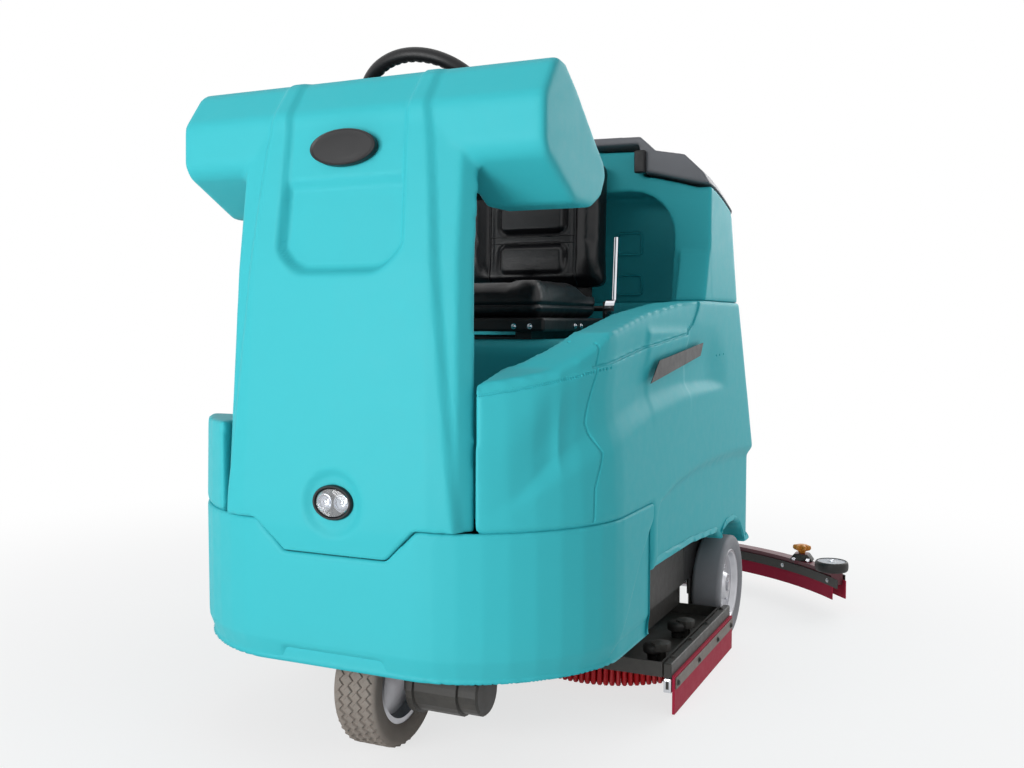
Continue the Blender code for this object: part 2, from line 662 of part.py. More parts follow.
def make_pedals():
    pedals = []
    for name, x, half in (("accelerator_pedal", -0.120, 0.042), ("brake_pedal", 0.120, 0.034)):
        plate = box(name, (x - half, -0.005, 0.012), (x + half, 0.130, 0.020), "black", 0.003)
        pin = rod("pin", (x - half, 0, 0.008), (x + half, 0, 0.008), 0.008, "black", 16)
        join(plate, pin)
        place = Matrix.Translation((0, 0.150, FLOOR_Z + GAP)) @ Matrix.Rotation(math.radians(180), 4, "Z")
        tilt = Matrix.Translation((0, 0, 0.008)) @ Matrix.Rotation(math.radians(32), 4, "X")
        plate.data.transform(place @ tilt @ Matrix.Translation((0, 0, -0.008)))
        pedals.append(plate)
    return pedals


# Steering and drive ------------------------------------------------------------------------
def make_drive():
    top = FORK_TOP_Z
    fork = turned("drive_fork", [(0, top - 0.018), (TURNTABLE_R, top - 0.018), (TURNTABLE_R, top),
                                 (SPROCKET_BIG_R, top + 0.004), (SPROCKET_BIG_R, CHAIN_Z[1]),
                                 (0.028, CHAIN_Z[1]), (0.028, RAIL_Z[1] - GAP), (0, RAIL_Z[1] - GAP)],
                  (0, 0, 0), "Z", 36, "black_steel")
    for side in (-1, 1):
        xs = sorted((side * FORK_X, side * (FORK_X + 0.012)))
        leg = [(-0.045, top - 0.01), (-0.045, DRIVE_WHEEL_R), (-0.032, DRIVE_WHEEL_R - 0.04),
               (0.032, DRIVE_WHEEL_R - 0.04), (0.045, DRIVE_WHEEL_R), (0.045, top - 0.01)]
        join(fork, prism("leg", leg, xs[0], xs[1], 0))
    bore = turned("bore", [(0, -0.12), (0.018 + RUN, -0.12), (0.018 + RUN, 0.12), (0, 0.12)],
                  (0, 0, DRIVE_WHEEL_R), "X")
    cut(fork, bore)
    smooth(fork)
    z = DRIVE_WHEEL_R
    tyre = turned("drive_tyre", [(0.088, -DRIVE_WHEEL_HALF), (z - 0.012, -DRIVE_WHEEL_HALF),
                                 (z, 0.012 - DRIVE_WHEEL_HALF), (z, DRIVE_WHEEL_HALF - 0.012),
                                 (z - 0.012, DRIVE_WHEEL_HALF), (0.088, DRIVE_WHEEL_HALF)],
                  (0, 0, z), "X", 40, "tread")
    hub = turned("drive_hub", [(0, -0.078), (0.018, -0.078), (0.018, -0.052), (0.060, -0.046), (0.0877, -0.046),
                               (0.0877, 0.046), (0.060, 0.046), (0.018, 0.052), (0.018, 0.078), (0, 0.078)],
                 (0, 0, z), "X", 28, "steel")
    start, end = FORK_X + 0.012 + GAP, DRIVE_MOTOR_END
    r = DRIVE_MOTOR_R
    motor = turned("drive_motor", [(0, start), (r + 0.006, start), (r + 0.006, start + 0.014), (r, start + 0.016),
                                   (r, end - 0.045), (r - 0.006, end - 0.043), (r - 0.006, end - 0.004),
                                   (r - 0.010, end), (0, end)], (0, 0, z), "X", 24, "black_steel")
    return fork, tyre, hub, motor


def make_chain():
    """A flat loop round the two sprockets: two arcs with straight runs between."""
    distance = -STEER_SHAFT_Y
    small, big = SPROCKET_BIG_R / STEER_RATIO, SPROCKET_BIG_R
    lean = math.degrees(math.asin((big - small) / distance))

    def loop(extra):
        rear = arc((0, 0), (big + extra) / math.cos(math.pi / 48), -lean, 180 + lean, 22)
        front = arc((0, STEER_SHAFT_Y), small + extra + 0.0004, 180 + lean, 360 - lean, 8)
        return rear + front

    chain = prism("steer_chain", loop(GAP + CHAIN_THICK), CHAIN_Z[0], CHAIN_Z[1] - GAP, 2, "black_steel")
    cut(chain, prism("inside", loop(GAP), 0.3, 0.4, 2))
    return chain


def make_chassis():
    x0, x1 = RAIL_X
    z0, z1 = RAIL_Z
    frame = box("chassis_frame", (x0, RAIL_Y[0] + 0.11, z0), (x1, RAIL_Y[1], z1), "black_steel")
    join(frame, box("rail", (-x1, RAIL_Y[0] + 0.11, z0), (-x0, RAIL_Y[1], z1)))
    for y0, y1 in ((0.300, 0.340), (1.040, 1.094), (1.290, 1.330)):
        join(frame, box("cross", (-x0 - 0.01, y0, z0 + 0.001), (x0 + 0.01, y1, z1 - 0.001)))
    plate_z = CHAIN_Z[1] + 0.004
    half, narrow = x0 + 0.01, 0.25
    plan = [(-half, 0.150), (-half, RAIL_Y[0] + 0.09), (-narrow, RAIL_Y[0]), (narrow, RAIL_Y[0]),
            (half, RAIL_Y[0] + 0.09), (half, 0.150)]
    plate = prism("plate", plan, plate_z, z1 - 0.0005, 2)
    join(frame, plate)
    holes = [((0, 0), 0.028 + RUN), ((0, STEER_SHAFT_Y), STEER_SHAFT_R + RUN)]
    for (x, y), radius in holes:
        cut(frame, turned("hole", [(0, 0.3), (radius, 0.3), (radius, 0.5), (0, 0.5)], (x, y, 0)))
    for side in (-1, 1):
        xs = sorted((side * (x0 + 0.002), side * (x1 - 0.002)))
        hanger = [(1.030, z0 + 0.01), (1.045, REAR_WHEEL_R - 0.03), (1.089, REAR_WHEEL_R - 0.03), (1.104, z0 + 0.01)]
        join(frame, prism("hanger", hanger, xs[0], xs[1], 0))
    cut(frame, rod("axle_hole", (-0.6, WHEELBASE, REAR_WHEEL_R), (0.6, WHEELBASE, REAR_WHEEL_R), AXLE_R + GAP))
    y, z = ARM_HINGE[1:]
    for side in (-1, 1):
        xs = sorted((side * 0.052, side * 0.062))
        ear = [(1.295, z0 + 0.005), (1.310, z - 0.02), (y + 0.02, z - 0.02), (y + 0.02, z + 0.03), (1.328, z0 + 0.005)]
        join(frame, prism("ear", ear, xs[0], xs[1], 0))
    cut(frame, rod("hinge_hole", (-0.1, y, z), (0.1, y, z), 0.008 + RUN))
    for side in (-1, 1):
        x = side * POST_X
        join(frame, box("guide", (x - 0.022, 0.325, GUIDE_Z[0]), (x + 0.022, POST_Y + 0.022, GUIDE_Z[1])))
        cut(frame, rod("guide_hole", (x, POST_Y, 0.2), (x, POST_Y, 0.38), POST_R + RUN))
    return frame


def make_rear_wheels():
    z = REAR_WHEEL_R
    axle = rod("rear_axle", (-0.474, WHEELBASE, z), (0.474, WHEELBASE, z), AXLE_R, "steel", 24)
    x0, x1 = REAR_WHEEL_X
    parts = [axle]
    for side, word in ((1, "left"), (-1, "right")):
        outer, inner = side * x1, side * x0
        edge = side * 0.010
        tyre = turned("rear_tyre_" + word, [(0.098, inner), (z - 0.010, inner), (z, inner + edge),
                                            (z, outer - edge), (z - 0.010, outer), (0.098, outer)],
                      (0, WHEELBASE, z), "X", 40, "grey_tyre")
        bore = AXLE_R + RUN
        hub = turned("rear_hub_" + word, [(bore, inner), (0.045, inner), (0.050, inner + side * 0.030),
                                          (0.085, inner + side * 0.034), (0.0977, inner + side * 0.008),
                                          (0.0977, outer - side * 0.006), (0.088, outer - side * 0.004),
                                          (0.060, outer - side * 0.016), (0.034, outer - side * 0.012),
                                          (0.030, outer - side * 0.002), (0.012, outer),
                                          (0.0, outer), (0.0, outer - side * 0.006),
                                          (bore, outer - side * 0.006)],
                     (0, WHEELBASE, z), "X", 28, "steel")
        parts += [tyre, hub]
    return parts


# Seat --------------------------------------------------------------------------------------
def make_seat():
    y0, y1 = HOOD_Y
    hood = box("seat_hood", (-HOOD_HALF, y0, FLOOR_Z - HOOD_ROUND), (HOOD_HALF, y1, HOOD_TOP_Z), "teal", HOOD_ROUND, 3)
    cut(hood, box("below", (-1, 0, 0.3), (1, 1, FLOOR_Z + GAP)))
    cut(hood, box("inner", (WALL - HOOD_HALF, y0 + WALL, 0.3), (HOOD_HALF - WALL, y1 - WALL, HOOD_TOP_Z - WALL)))
    smooth(hood)
    battery = box("battery_pack", (-0.330, y0 + 0.04, FLOOR_Z + GAP), (0.330, y1 - 0.12, BATTERY_TOP_Z), "battery",
                  0.006)
    rails = box("seat_rails", (-0.185, 0.330, HOOD_TOP_Z + GAP), (0.185, 0.680, PAN_Z[0] - GAP), "black_steel")
    cut(rails, box("between", (-0.145, 0.2, HOOD_TOP_Z + 0.006), (0.145, 0.9, 1.0)))
    pan = box("seat_pan", (-SEAT_HALF, SEAT_Y[0] + 0.01, PAN_Z[0]), (SEAT_HALF, SEAT_Y[1], PAN_Z[1] - GAP), "black",
              0.006)
    hinge_y, hinge_z = BACK_HINGE[1:]
    for side in (-1, 1):
        xs = sorted((side * (BACK_HALF + 0.003), side * (BACK_HALF + 0.011)))
        low = PAN_Z[0] + 0.008
        ear = [(hinge_y - 0.015, low), (hinge_y - 0.015, hinge_z), (hinge_y - 0.010, hinge_z + 0.018),
               (hinge_y + 0.014, hinge_z + 0.018), (hinge_y + 0.022, hinge_z), (hinge_y + 0.012, low)]
        join(pan, prism("ear", ear, xs[0], xs[1], 0))
    pin_hole = rod("pin_hole", (-0.4, hinge_y, hinge_z), (0.4, hinge_y, hinge_z), 0.007 + RUN)
    cut(pan, pin_hole)
    cushion = box("seat_cushion", (-SEAT_HALF, SEAT_Y[0], PAN_Z[1]), (SEAT_HALF, CUSHION_REAR_Y, CUSHION_TOP_Z),
                  "vinyl", 0.022, 3)
    back = box("seat_backrest", (-BACK_HALF, BACK_THICK[0], 0.045), (BACK_HALF, BACK_THICK[1], 0.045 + BACK_LENGTH),
               "vinyl", 0.024, 3)
    back.data.transform(Matrix.Translation(BACK_HINGE) @ Matrix.Rotation(-BACK_LEAN, 4, "X"))
    backframe = make_back_frame()
    lever = rod("recline_lever", (0.2425, hinge_y + 0.004, hinge_z + 0.010), (0.2425, hinge_y + 0.020, 1.110),
                0.006, "chrome", 14)
    boss = rod("boss", (0.2265, hinge_y, hinge_z), (0.2520, hinge_y, hinge_z), 0.024, "black", 20)
    join(lever, boss)
    smooth(lever)
    return hood, battery, rails, pan, cushion, back, backframe, lever


def make_back_frame():
    """Steel bracket behind the backrest, on the hinge pin that runs from ear to ear."""
    hinge_y, hinge_z = BACK_HINGE[1:]
    frame = rod("backrest_frame", (0.2262, hinge_y, hinge_z), (-0.2262, hinge_y, hinge_z), 0.007, "black_steel", 18)
    behind = BACK_THICK[1] + GAP
    plate = box("plate", (-0.150, behind, 0.070), (0.150, behind + 0.005, 0.250))
    foot = box("foot", (-0.150, -0.004, -0.004), (0.150, behind + 0.005, 0.0042))
    riser = box("riser", (-0.150, behind, 0.000), (0.150, behind + 0.005, 0.080))
    join(plate, riser, foot)
    plate.data.transform(Matrix.Translation(BACK_HINGE) @ Matrix.Rotation(-BACK_LEAN, 4, "X"))
    join(frame, plate)
    return frame


# Tank and lid ------------------------------------------------------------------------------
ROOF_LENGTH = 0.360
ROOF_STEPS = (0.0, 0.07, 0.15, 0.23, 0.30, ROOF_LENGTH, 0.45)


def roof_line(table, y):
    """The points of a roof table at one place along the machine, from right to left."""
    run = max(y - LID_FRONT_Y, 0.0) / ROOF_LENGTH
    right = []
    for x, level in table:
        share = min(x / ROOF[1][0], 1.0) ** 3
        right.append((x, y, level - between(ROOF_CREST_DROP, ROOF_DROP, share) * run ** 1.5))
    return right[::-1] + [(-x, y, z) for x, y, z in right[1:]]


def tank_outline(front, half, front_low=0.0):
    """Closed solid of the tank's plan, with the body's sloping rear, from the deck up past the lid."""
    rings = []
    for z in (DECK_TOP_Z + GAP, UNDERCUT_TOP_Z, SHOULDER_Z, 1.45):
        low = front_low if z < UNDERCUT_TOP_Z else 0.0
        right = [(half, front + low)] + rear_round(z, half, REAR_CORNER)
        left = [(-x, y) for x, y in reversed(right)]
        rings.append([(x, y, z) for x, y in right + left])
    return loft("tank_outline", rings, "teal")


def lid_solid(name, shift=0.0):
    rings = []
    for step in ROOF_STEPS:
        y = LID_FRONT_Y + step
        ring = roof_line(ROOF, y) + roof_line(LID_INSIDE, y)[::-1]
        rings.append([(x, y, z + shift) for x, y, z in ring])
    return loft(name, rings, "lid_grey")


def make_lid():
    lid = lid_solid("tank_lid")
    combine(lid, [tank_outline(LID_FRONT_Y - 0.01, TANK_HALF + 0.003)], "INTERSECT")
    smooth(lid, 25)
    return lid


def make_tank():
    base_z = DECK_TOP_Z + GAP
    tank = tank_outline(TANK_FRONT_Y, TANK_HALF, TANK_UNDERCUT)
    tank.name = "recovery_tank"
    table = TANK_ROOF + ((0.6, TANK_ROOF[-1][1]),)
    above = []
    for y in [TANK_FRONT_Y - 0.1] + [LID_FRONT_Y + step for step in ROOF_STEPS]:
        above.append([(0.6, y, 1.7)] + roof_line(table, y) + [(-0.6, y, 1.7)])
    cut(tank, loft("above", above))
    for side in (-1, 1):
        join(tank, box("pad", (side * 0.15 - 0.010, 0.880, 1.30), (side * 0.15 + 0.010, 0.905, 1.369)))
    cut(tank, lid_solid("lid_room", -GAP))
    r = 0.12
    recess = [(-RECESS_HALF + 0.02, 0.90), (-RECESS_HALF, UNDERCUT_TOP_Z), (-RECESS_HALF, RECESS_TOP_Z - r)]
    recess += arc((r - RECESS_HALF, RECESS_TOP_Z - r), r, 180, 90, 6)[1:]
    recess += arc((RECESS_HALF - r, RECESS_TOP_Z - r), r, 90, 0, 6)
    recess += [(RECESS_HALF, UNDERCUT_TOP_Z), (RECESS_HALF - 0.02, 0.90)]
    cut(tank, prism("recess", recess, 0.5, RECESS_REAR_Y, 1))
    for side in (-1, 1):
        xs = sorted((side * (COCKPIT_HALF + 0.003), side * (TANK_HALF - 0.001)))
        flare = [(TANK_FRONT_Y - TANK_FLARE, base_z), (TANK_FRONT_Y - 0.004, FLARE_TOP_Z),
                 (TANK_FRONT_Y + 0.04, FLARE_TOP_Z), (TANK_FRONT_Y + 0.04, base_z)]
        join(tank, prism("flare", flare, xs[0], xs[1], 0))
    inner_y = RECESS_REAR_Y + WALL
    cut(tank, box("cavity", (-0.40, inner_y, base_z + WALL), (0.40, 1.130, 1.130)))
    cut(tank, box("mouth", (-0.26, inner_y + 0.01, 1.10), (0.26, 1.100, 1.5)))
    smooth(tank, 25)
    return tank


def make_tank_fittings():
    latch = box("lid_latch", (0.272, LID_FRONT_Y - 0.018, 1.281), (0.302, LID_FRONT_Y - GAP, 1.340), "black", 0.004)
    join(latch, box("hook", (0.2735, LID_FRONT_Y - 0.010, 1.284), (0.2835, TANK_FRONT_Y - GAP, 1.312)))
    vacuum = turned("vacuum_motor", [(0, 0.43 + GAP), (0.075, 0.43 + GAP), (0.075, 0.53), (0.055, 0.54),
                                     (0.055, 0.64), (0, 0.65)], (0.26, 0.98, 0), "Z", 28, "black_steel")
    pump = box("solution_pump", (-0.325, 0.180, 0.330), (-0.235, 0.270, RAIL_Z[1]), "black_steel", 0.008)
    return latch, vacuum, pump


# Brush deck --------------------------------------------------------------------------------
def make_deck():
    y0, y1 = DECK_Y
    deck = box("brush_deck", (-DECK_HALF, y0, DECK_Z), (DECK_HALF, y1, DECK_RIM_Z), "black_steel")
    tray = [(-DECK_HALF + SHEET, y0 + SHEET), (DECK_HALF - SHEET, y0 + SHEET), (DECK_HALF - SHEET, y1 - SHEET),
            (-DECK_HALF + SHEET, y1 - SHEET)]
    cut(deck, prism("tray", tray, DECK_Z + SHEET * 1.5, 0.3, 2))
    for side in (-1, 1):
        hole = turned("hole", [(0, 0.05), (0.032, 0.05), (0.032, 0.2), (0, 0.2)], (side * BRUSH_X, BRUSH_Y, 0))
        cut(deck, hole)
        post = rod("post", (side * POST_X, POST_Y, DECK_Z + 0.001), (side * POST_X, POST_Y, RAIL_Z[1] - DECK_LIFT - 0.005),
                   POST_R)
        join(deck, post)
        for y in (0.490, 0.700):
            knob = turned("knob", [(0, DECK_Z + 0.002), (0.012, DECK_Z + 0.002), (0.012, 0.115), (0.024, 0.118),
                                   (0.024, 0.136), (0, 0.140)], (side * 0.450, y, 0), "Z", 10)
            join(deck, knob)
    parts = [deck]
    for side, word in ((1, "left"), (-1, "right")):
        centre = (side * BRUSH_X, BRUSH_Y, 0)
        low = DECK_Z + SHEET * 1.5 + GAP
        r = BRUSH_MOTOR_R
        motor = turned("brush_motor_" + word, [(0, low), (r + 0.012, low), (r + 0.012, low + 0.010),
                                               (r, low + 0.012), (r, BRUSH_MOTOR_TOP_Z - 0.010),
                                               (r - 0.010, BRUSH_MOTOR_TOP_Z), (0, BRUSH_MOTOR_TOP_Z)],
                       centre, "Z", 28, "black_steel")
        brush = turned("disc_brush_" + word, [(0, low - GAP), (0.030, low - GAP), (0.030, 0.075),
                                              (0.212, 0.075), (0.218, 0.050), (BRUSH_R, BRUSH_LOW_Z),
                                              (0.100, BRUSH_LOW_Z), (0.100, 0.050), (0, 0.050)],
                       centre, "Z", 36, "red_bristle")
        xs = sorted(side * x for x in GUARD_X)
        guard = box("side_guard_" + word, (xs[0], GUARD_Y[0], DECK_Z), (xs[1], GUARD_Y[1], DECK_RIM_Z), "black_steel",
                    0.002, 1)
        tab_x = sorted((side * (DECK_HALF + GAP), side * (GUARD_X[0] + 0.004)))
        for y in (0.44, 0.86):
            join(guard, box("tab", (tab_x[0], y, DECK_Z + 0.004), (tab_x[1], y + 0.03, DECK_RIM_Z - 0.004)))
        outer = side * (GUARD_X[1] + GAP)
        xs = sorted((outer, outer + side * BLADE_THICK))
        blade = box("side_blade_" + word, (xs[0], GUARD_Y[0] + 0.006, BLADE_LOW_Z), (xs[1], GUARD_Y[1], 0.092),
                    "red_rubber")
        parts += [motor, brush, guard, blade]
    return parts


# Squeegee ----------------------------------------------------------------------------------
def squeegee_arc(inner, outer, low, high, name, material, short=0.0, steps=28):
    """A band between two radii, along the whole squeegee. Its ends stop short by that much."""
    reach = math.degrees(math.asin(SQUEEGEE_TIP_X / (SQUEEGEE_R + SQUEEGEE_DEPTH)))
    rings = []
    for k in range(steps + 1):
        angle = math.radians(90 - reach + 2 * reach * k / steps)
        c, s = math.cos(angle), math.sin(angle)
        rings.append([Vector((r * c, SQUEEGEE_CENTRE_Y + r * s, z))
                      for r, z in ((inner, low), (outer, low), (outer, high), (inner, high))])
    for end, next_in in ((0, 1), (-1, -2)):
        share = short / (rings[end][0] - rings[next_in][0]).length
        rings[end] = [a.lerp(b, share) for a, b in zip(rings[end], rings[next_in])]
    obj = loft(name, rings, material)
    smooth(obj, 25)
    return obj


def make_squeegee():
    r, depth, z0 = SQUEEGEE_R, SQUEEGEE_DEPTH, SQUEEGEE_LOW_Z
    front = squeegee_arc(r - 0.003, r, z0, z0 + SQUEEGEE_BLADE, "squeegee_blade_front", "red_rubber")
    rear = squeegee_arc(r + depth - 0.004, r + depth, z0, z0 + SQUEEGEE_BLADE, "squeegee_blade_rear", "red_rubber")
    channel = squeegee_arc(r + GAP, r + depth - 0.004 - GAP, CHANNEL_Z[0], CHANNEL_Z[1], "squeegee_channel", "maroon",
                           0.012)
    mount_y = ARM_END[1]
    carrier = box("carrier", (-0.075, mount_y + 0.030, 0.122), (0.075, 1.799, 0.140))
    for side in (-1, 1):
        xs = sorted((side * 0.024, side * 0.034))
        ear = [(mount_y - 0.014, 0.172), (mount_y + 0.014, 0.130), (mount_y + 0.090, 0.130),
               (mount_y + 0.018, 0.199), (mount_y - 0.014, 0.199)]
        join(carrier, prism("ear", ear, xs[0], xs[1], 0))
    cut(carrier, rod("hole", (-0.1, mount_y, ARM_END[2]), (0.1, mount_y, ARM_END[2]), 0.008 + RUN))
    middle = SQUEEGEE_CENTRE_Y + r + depth / 2
    spigot = turned("spigot", [(0, 0.11), (0.017, 0.11), (0.017, 0.190), (0, 0.190)], (0, middle, 0), "Z", 16)
    join(channel, carrier, spigot)
    rollers, knobs = [], []
    for side, word in ((1, "left"), (-1, "right")):
        x = side * ROLLER_X
        y = SQUEEGEE_CENTRE_Y + math.sqrt((r + 0.012) ** 2 - ROLLER_X ** 2)
        pin = rod("pin", (x, y, CHANNEL_Z[0] + 0.01), (x, y, ROLLER_Z[1] - 0.004), 0.006)
        join(channel, pin)
        bore = 0.006 + RUN
        z2, z3 = ROLLER_Z
        rollers.append(turned("guide_roller_" + word, [(bore, z2), (ROLLER_R - 0.004, z2), (ROLLER_R, z2 + 0.004),
                                                       (ROLLER_R, z3 - 0.004), (ROLLER_R - 0.004, z3),
                                                       (ROLLER_R - 0.010, z3 - 0.003), (bore, z3 - 0.003)],
                              (x, y, 0), "Z", 24, "black"))
        kx = side * KNOB_X
        ky = SQUEEGEE_CENTRE_Y + math.sqrt((r + 0.020) ** 2 - KNOB_X ** 2)
        bracket = box("bracket", (kx - 0.020, ky - 0.020, CHANNEL_Z[1] - 0.010), (kx + 0.020, ky + 0.020, 0.148))
        stud = rod("stud", (kx, ky, 0.14), (kx, ky, 0.160), 0.004)
        join(channel, bracket, stud)
        knob = turned("wing_knob_" + word, [(0.0045, 0.1485), (0.012, 0.1485), (0.012, 0.163), (0.008, 0.168),
                                            (0.0, 0.168), (0.0, 0.1605), (0.0045, 0.1605)],
                      (kx, ky, 0), "Z", 18, "orange")
        wing = prism("wing", [(-0.030, 0.168), (-0.031, 0.176), (-0.020, 0.177), (0.0, 0.164), (0.020, 0.177),
                              (0.031, 0.176), (0.030, 0.168), (0.006, 0.153), (-0.006, 0.153)],
                     ky - 0.004, ky + 0.004, 1)
        wing.data.transform(Matrix.Translation((kx, 0, 0)))
        cut(wing, turned("keep", [(0, 0.1), (0.0095, 0.1), (0.0095, 0.162), (0, 0.162)], (kx, ky, 0), "Z", 18))
        join(knob, wing)
        knobs.append(knob)
    cut(channel, turned("throat", [(0, 0), (0.0125, 0), (0.0125, 0.3), (0, 0.3)], (0, middle, 0), "Z", 16))
    return front, rear, channel, rollers, knobs


def make_arm():
    y0, z0 = ARM_HINGE[1:]
    y1, z1 = ARM_END[1:]
    arm = box("squeegee_arm", (-0.018, -0.006, -0.016), (0.018, math.hypot(y1 - y0, z1 - z0) + 0.006, 0.016))
    arm.data.transform(Matrix.Translation(ARM_HINGE) @ Matrix.Rotation(math.atan2(z1 - z0, y1 - y0), 4, "X"))
    for (y, z), half in (((y0, z0), 0.0505), ((y1, z1), 0.0225)):
        join(arm, rod("barrel", (-half, y, z), (half, y, z), 0.018, "black_steel", 20))
        join(arm, rod("pin", (-half - 0.011, y, z), (half + 0.011, y, z), 0.008, "black_steel", 16))
    arm.data.materials.clear()
    arm.data.materials.append(make_material("black_steel"))
    return arm


def main():
    clear_scene()
    make_base_body()
    make_bumper()
    make_cowl()
    make_front_trim()
    make_side_plate()
    make_side_panels()
    make_chassis()
    make_dashboard()
    stop, key, lever = make_controls()
    wheel, shaft, drop = make_steering()
    pedals = make_pedals()
    fork, tyre, hub, motor = make_drive()
    make_chain()
    _, tyre_l, hub_l, tyre_r, hub_r = make_rear_wheels()
    hood, _, rails, pan, cushion, back, backframe, recline = make_seat()
    make_tank()
    lid = make_lid()
    latch, _, _ = make_tank_fittings()
    deck = make_deck()
    front, rear, channel, rollers, knobs = make_squeegee()
    arm = make_arm()

    pivot(STEER_CENTRE, wheel, shaft)
    pivot((0, STEER_SHAFT_Y, CHAIN_Z[0]), drop)
    pivot((0, 0, FORK_TOP_Z), fork, motor)
    pivot((0, 0, DRIVE_WHEEL_R), tyre, hub)
    for pair in ((tyre_l, hub_l), (tyre_r, hub_r)):
        pivot((0, WHEELBASE, REAR_WHEEL_R), *pair)
    pivot((0, HOOD_Y[0], FLOOR_Z + 0.02), hood, rails)
    pivot((0, SEAT_Y[0], PAN_Z[0]), pan, cushion)
    pivot(BACK_HINGE, back, backframe, recline)
    pivot(LID_HINGE, lid)
    pivot((0.287, LID_FRONT_Y - 0.010, 1.337), latch)
    pivot((0, BRUSH_Y, DECK_Z), deck[0])
    pivot(dash_point(*STOP_PLACE), stop)
    pivot(dash_point(*KEY_PLACE), key)
    pivot(dash_point(*LEVER_PLACE, GAP - 0.003 + LEVER_BALL_R), lever)
    for pedal in pedals:
        pivot((0, 0.150, FLOOR_Z + 0.008), pedal)
    for side, brush in ((1, deck[2]), (-1, deck[6])):
        pivot((side * BRUSH_X, BRUSH_Y, DECK_Z), brush)
    pivot(ARM_HINGE, arm)
    pivot(ARM_END, front, rear, channel)
    for side, roller, knob in zip((1, -1), rollers, knobs):
        y = SQUEEGEE_CENTRE_Y + math.sqrt((SQUEEGEE_R + 0.012) ** 2 - ROLLER_X ** 2)
        pivot((side * ROLLER_X, y, ROLLER_Z[0]), roller)
        y = SQUEEGEE_CENTRE_Y + math.sqrt((SQUEEGEE_R + 0.020) ** 2 - KNOB_X ** 2)
        pivot((side * KNOB_X, y, 0.1485), knob)

    root = bpy.data.objects.new("machine_root", None)
    bpy.context.scene.collection.objects.link(root)
    root.location = (0, -MIDDLE_Y, 0)
    for obj in bpy.data.objects:
        if obj.type == "MESH":
            obj.parent = root


main()
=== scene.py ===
import json
import math

import bmesh
import bpy
import numpy as np
from mathutils import Matrix, Vector
from mathutils.bvhtree import BVHTree
from mathutils.kdtree import KDTree


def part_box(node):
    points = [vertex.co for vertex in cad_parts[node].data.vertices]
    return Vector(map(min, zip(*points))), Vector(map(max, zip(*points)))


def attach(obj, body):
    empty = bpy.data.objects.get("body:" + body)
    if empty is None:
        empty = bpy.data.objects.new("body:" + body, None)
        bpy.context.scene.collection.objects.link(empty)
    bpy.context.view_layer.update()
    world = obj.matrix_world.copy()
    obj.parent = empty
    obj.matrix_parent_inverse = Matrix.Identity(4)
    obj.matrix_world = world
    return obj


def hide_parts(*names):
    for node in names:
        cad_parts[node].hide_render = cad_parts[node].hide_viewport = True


print("loading the frame")
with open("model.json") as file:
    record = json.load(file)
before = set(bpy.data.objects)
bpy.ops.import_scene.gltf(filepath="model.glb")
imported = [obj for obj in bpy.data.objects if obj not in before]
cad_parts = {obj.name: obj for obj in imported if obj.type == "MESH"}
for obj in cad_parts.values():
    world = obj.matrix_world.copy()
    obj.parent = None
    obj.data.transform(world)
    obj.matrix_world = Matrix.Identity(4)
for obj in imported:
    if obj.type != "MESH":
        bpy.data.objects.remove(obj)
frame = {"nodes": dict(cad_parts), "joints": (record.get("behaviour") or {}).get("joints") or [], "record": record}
nodes = frame["nodes"]
scene = bpy.context.scene
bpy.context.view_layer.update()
joints = {joint["name"]: joint for joint in frame["joints"]}
axleY = float(joints["drive_steer"]["pos_m"][1])  # the front wheel's steering axis


# Small mesh tools. Lengths along the machine are measured from the front wheel's axis.
def at(x, y, z):
    return Vector((x, y + axleY, z))


def linked(name, mesh):
    piece = bpy.data.objects.new(name, mesh)
    scene.collection.objects.link(piece)
    return piece


def fromBmesh(name, bm):
    bmesh.ops.recalc_face_normals(bm, faces=bm.faces)
    mesh = bpy.data.meshes.new(name)
    bm.to_mesh(mesh)
    bm.free()
    return linked(name, mesh)


def applied(piece):
    graph = bpy.context.evaluated_depsgraph_get()
    mesh = bpy.data.meshes.new_from_object(piece.evaluated_get(graph))
    piece.modifiers.clear()
    piece.data = mesh
    return piece


def mergedCopy(nodeName, name):
    bm = bmesh.new()
    bm.from_mesh(nodes[nodeName].data)
    bmesh.ops.remove_doubles(bm, verts=bm.verts, dist=1e-5)
    return fromBmesh(name, bm)


def pointsOf(piece):
    co = np.empty(len(piece.data.vertices) * 3, np.float32)
    piece.data.vertices.foreach_get("co", co)
    return co.reshape(-1, 3).astype(float)


def setPoints(piece, co):
    piece.data.vertices.foreach_set("co", co.astype(np.float32).ravel())
    piece.data.update()


def normalsOf(piece):
    found = np.empty(len(piece.data.vertices) * 3, np.float32)
    piece.data.vertex_normals.foreach_get("vector", found)
    return found.reshape(-1, 3).astype(float)


def ease(value, low, high):
    share = np.clip((value - low) / (high - low), 0.0, 1.0)
    return share * share * (3 - 2 * share)


def lineAt(table, x):
    return np.interp(x, [p[0] for p in table], [p[1] for p in table])


def shaded(piece, angle=35):
    piece.data.shade_smooth()
    piece.data.set_sharp_from_angle(angle=math.radians(angle))
    return piece


def finished(piece, body, material, replaced=(), angle=35):
    piece.data.materials.clear()
    piece.data.materials.append(material)
    shaded(piece, angle)
    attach(piece, body)
    if replaced:
        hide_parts(*replaced)
    return piece


# Moulded shells
def dense(path, step=0.0012):
    found = []
    for a, b in zip(path, path[1:]):
        a, b = Vector(a), Vector(b)
        count = max(2, int((b - a).length / step))
        found += [a.lerp(b, k / count) for k in range(count)]
    return found + [Vector(path[-1])]


# The path moved onto the shell along a direction, from outside it.
def onSurface(tree, path, direction, reach=0.6):
    direction = Vector(direction)
    found = []
    for point in dense(path, 0.003):
        hit = tree.ray_cast(point - direction * reach, direction)
        if hit[0] is not None:
            found.append(hit[0])
    return found


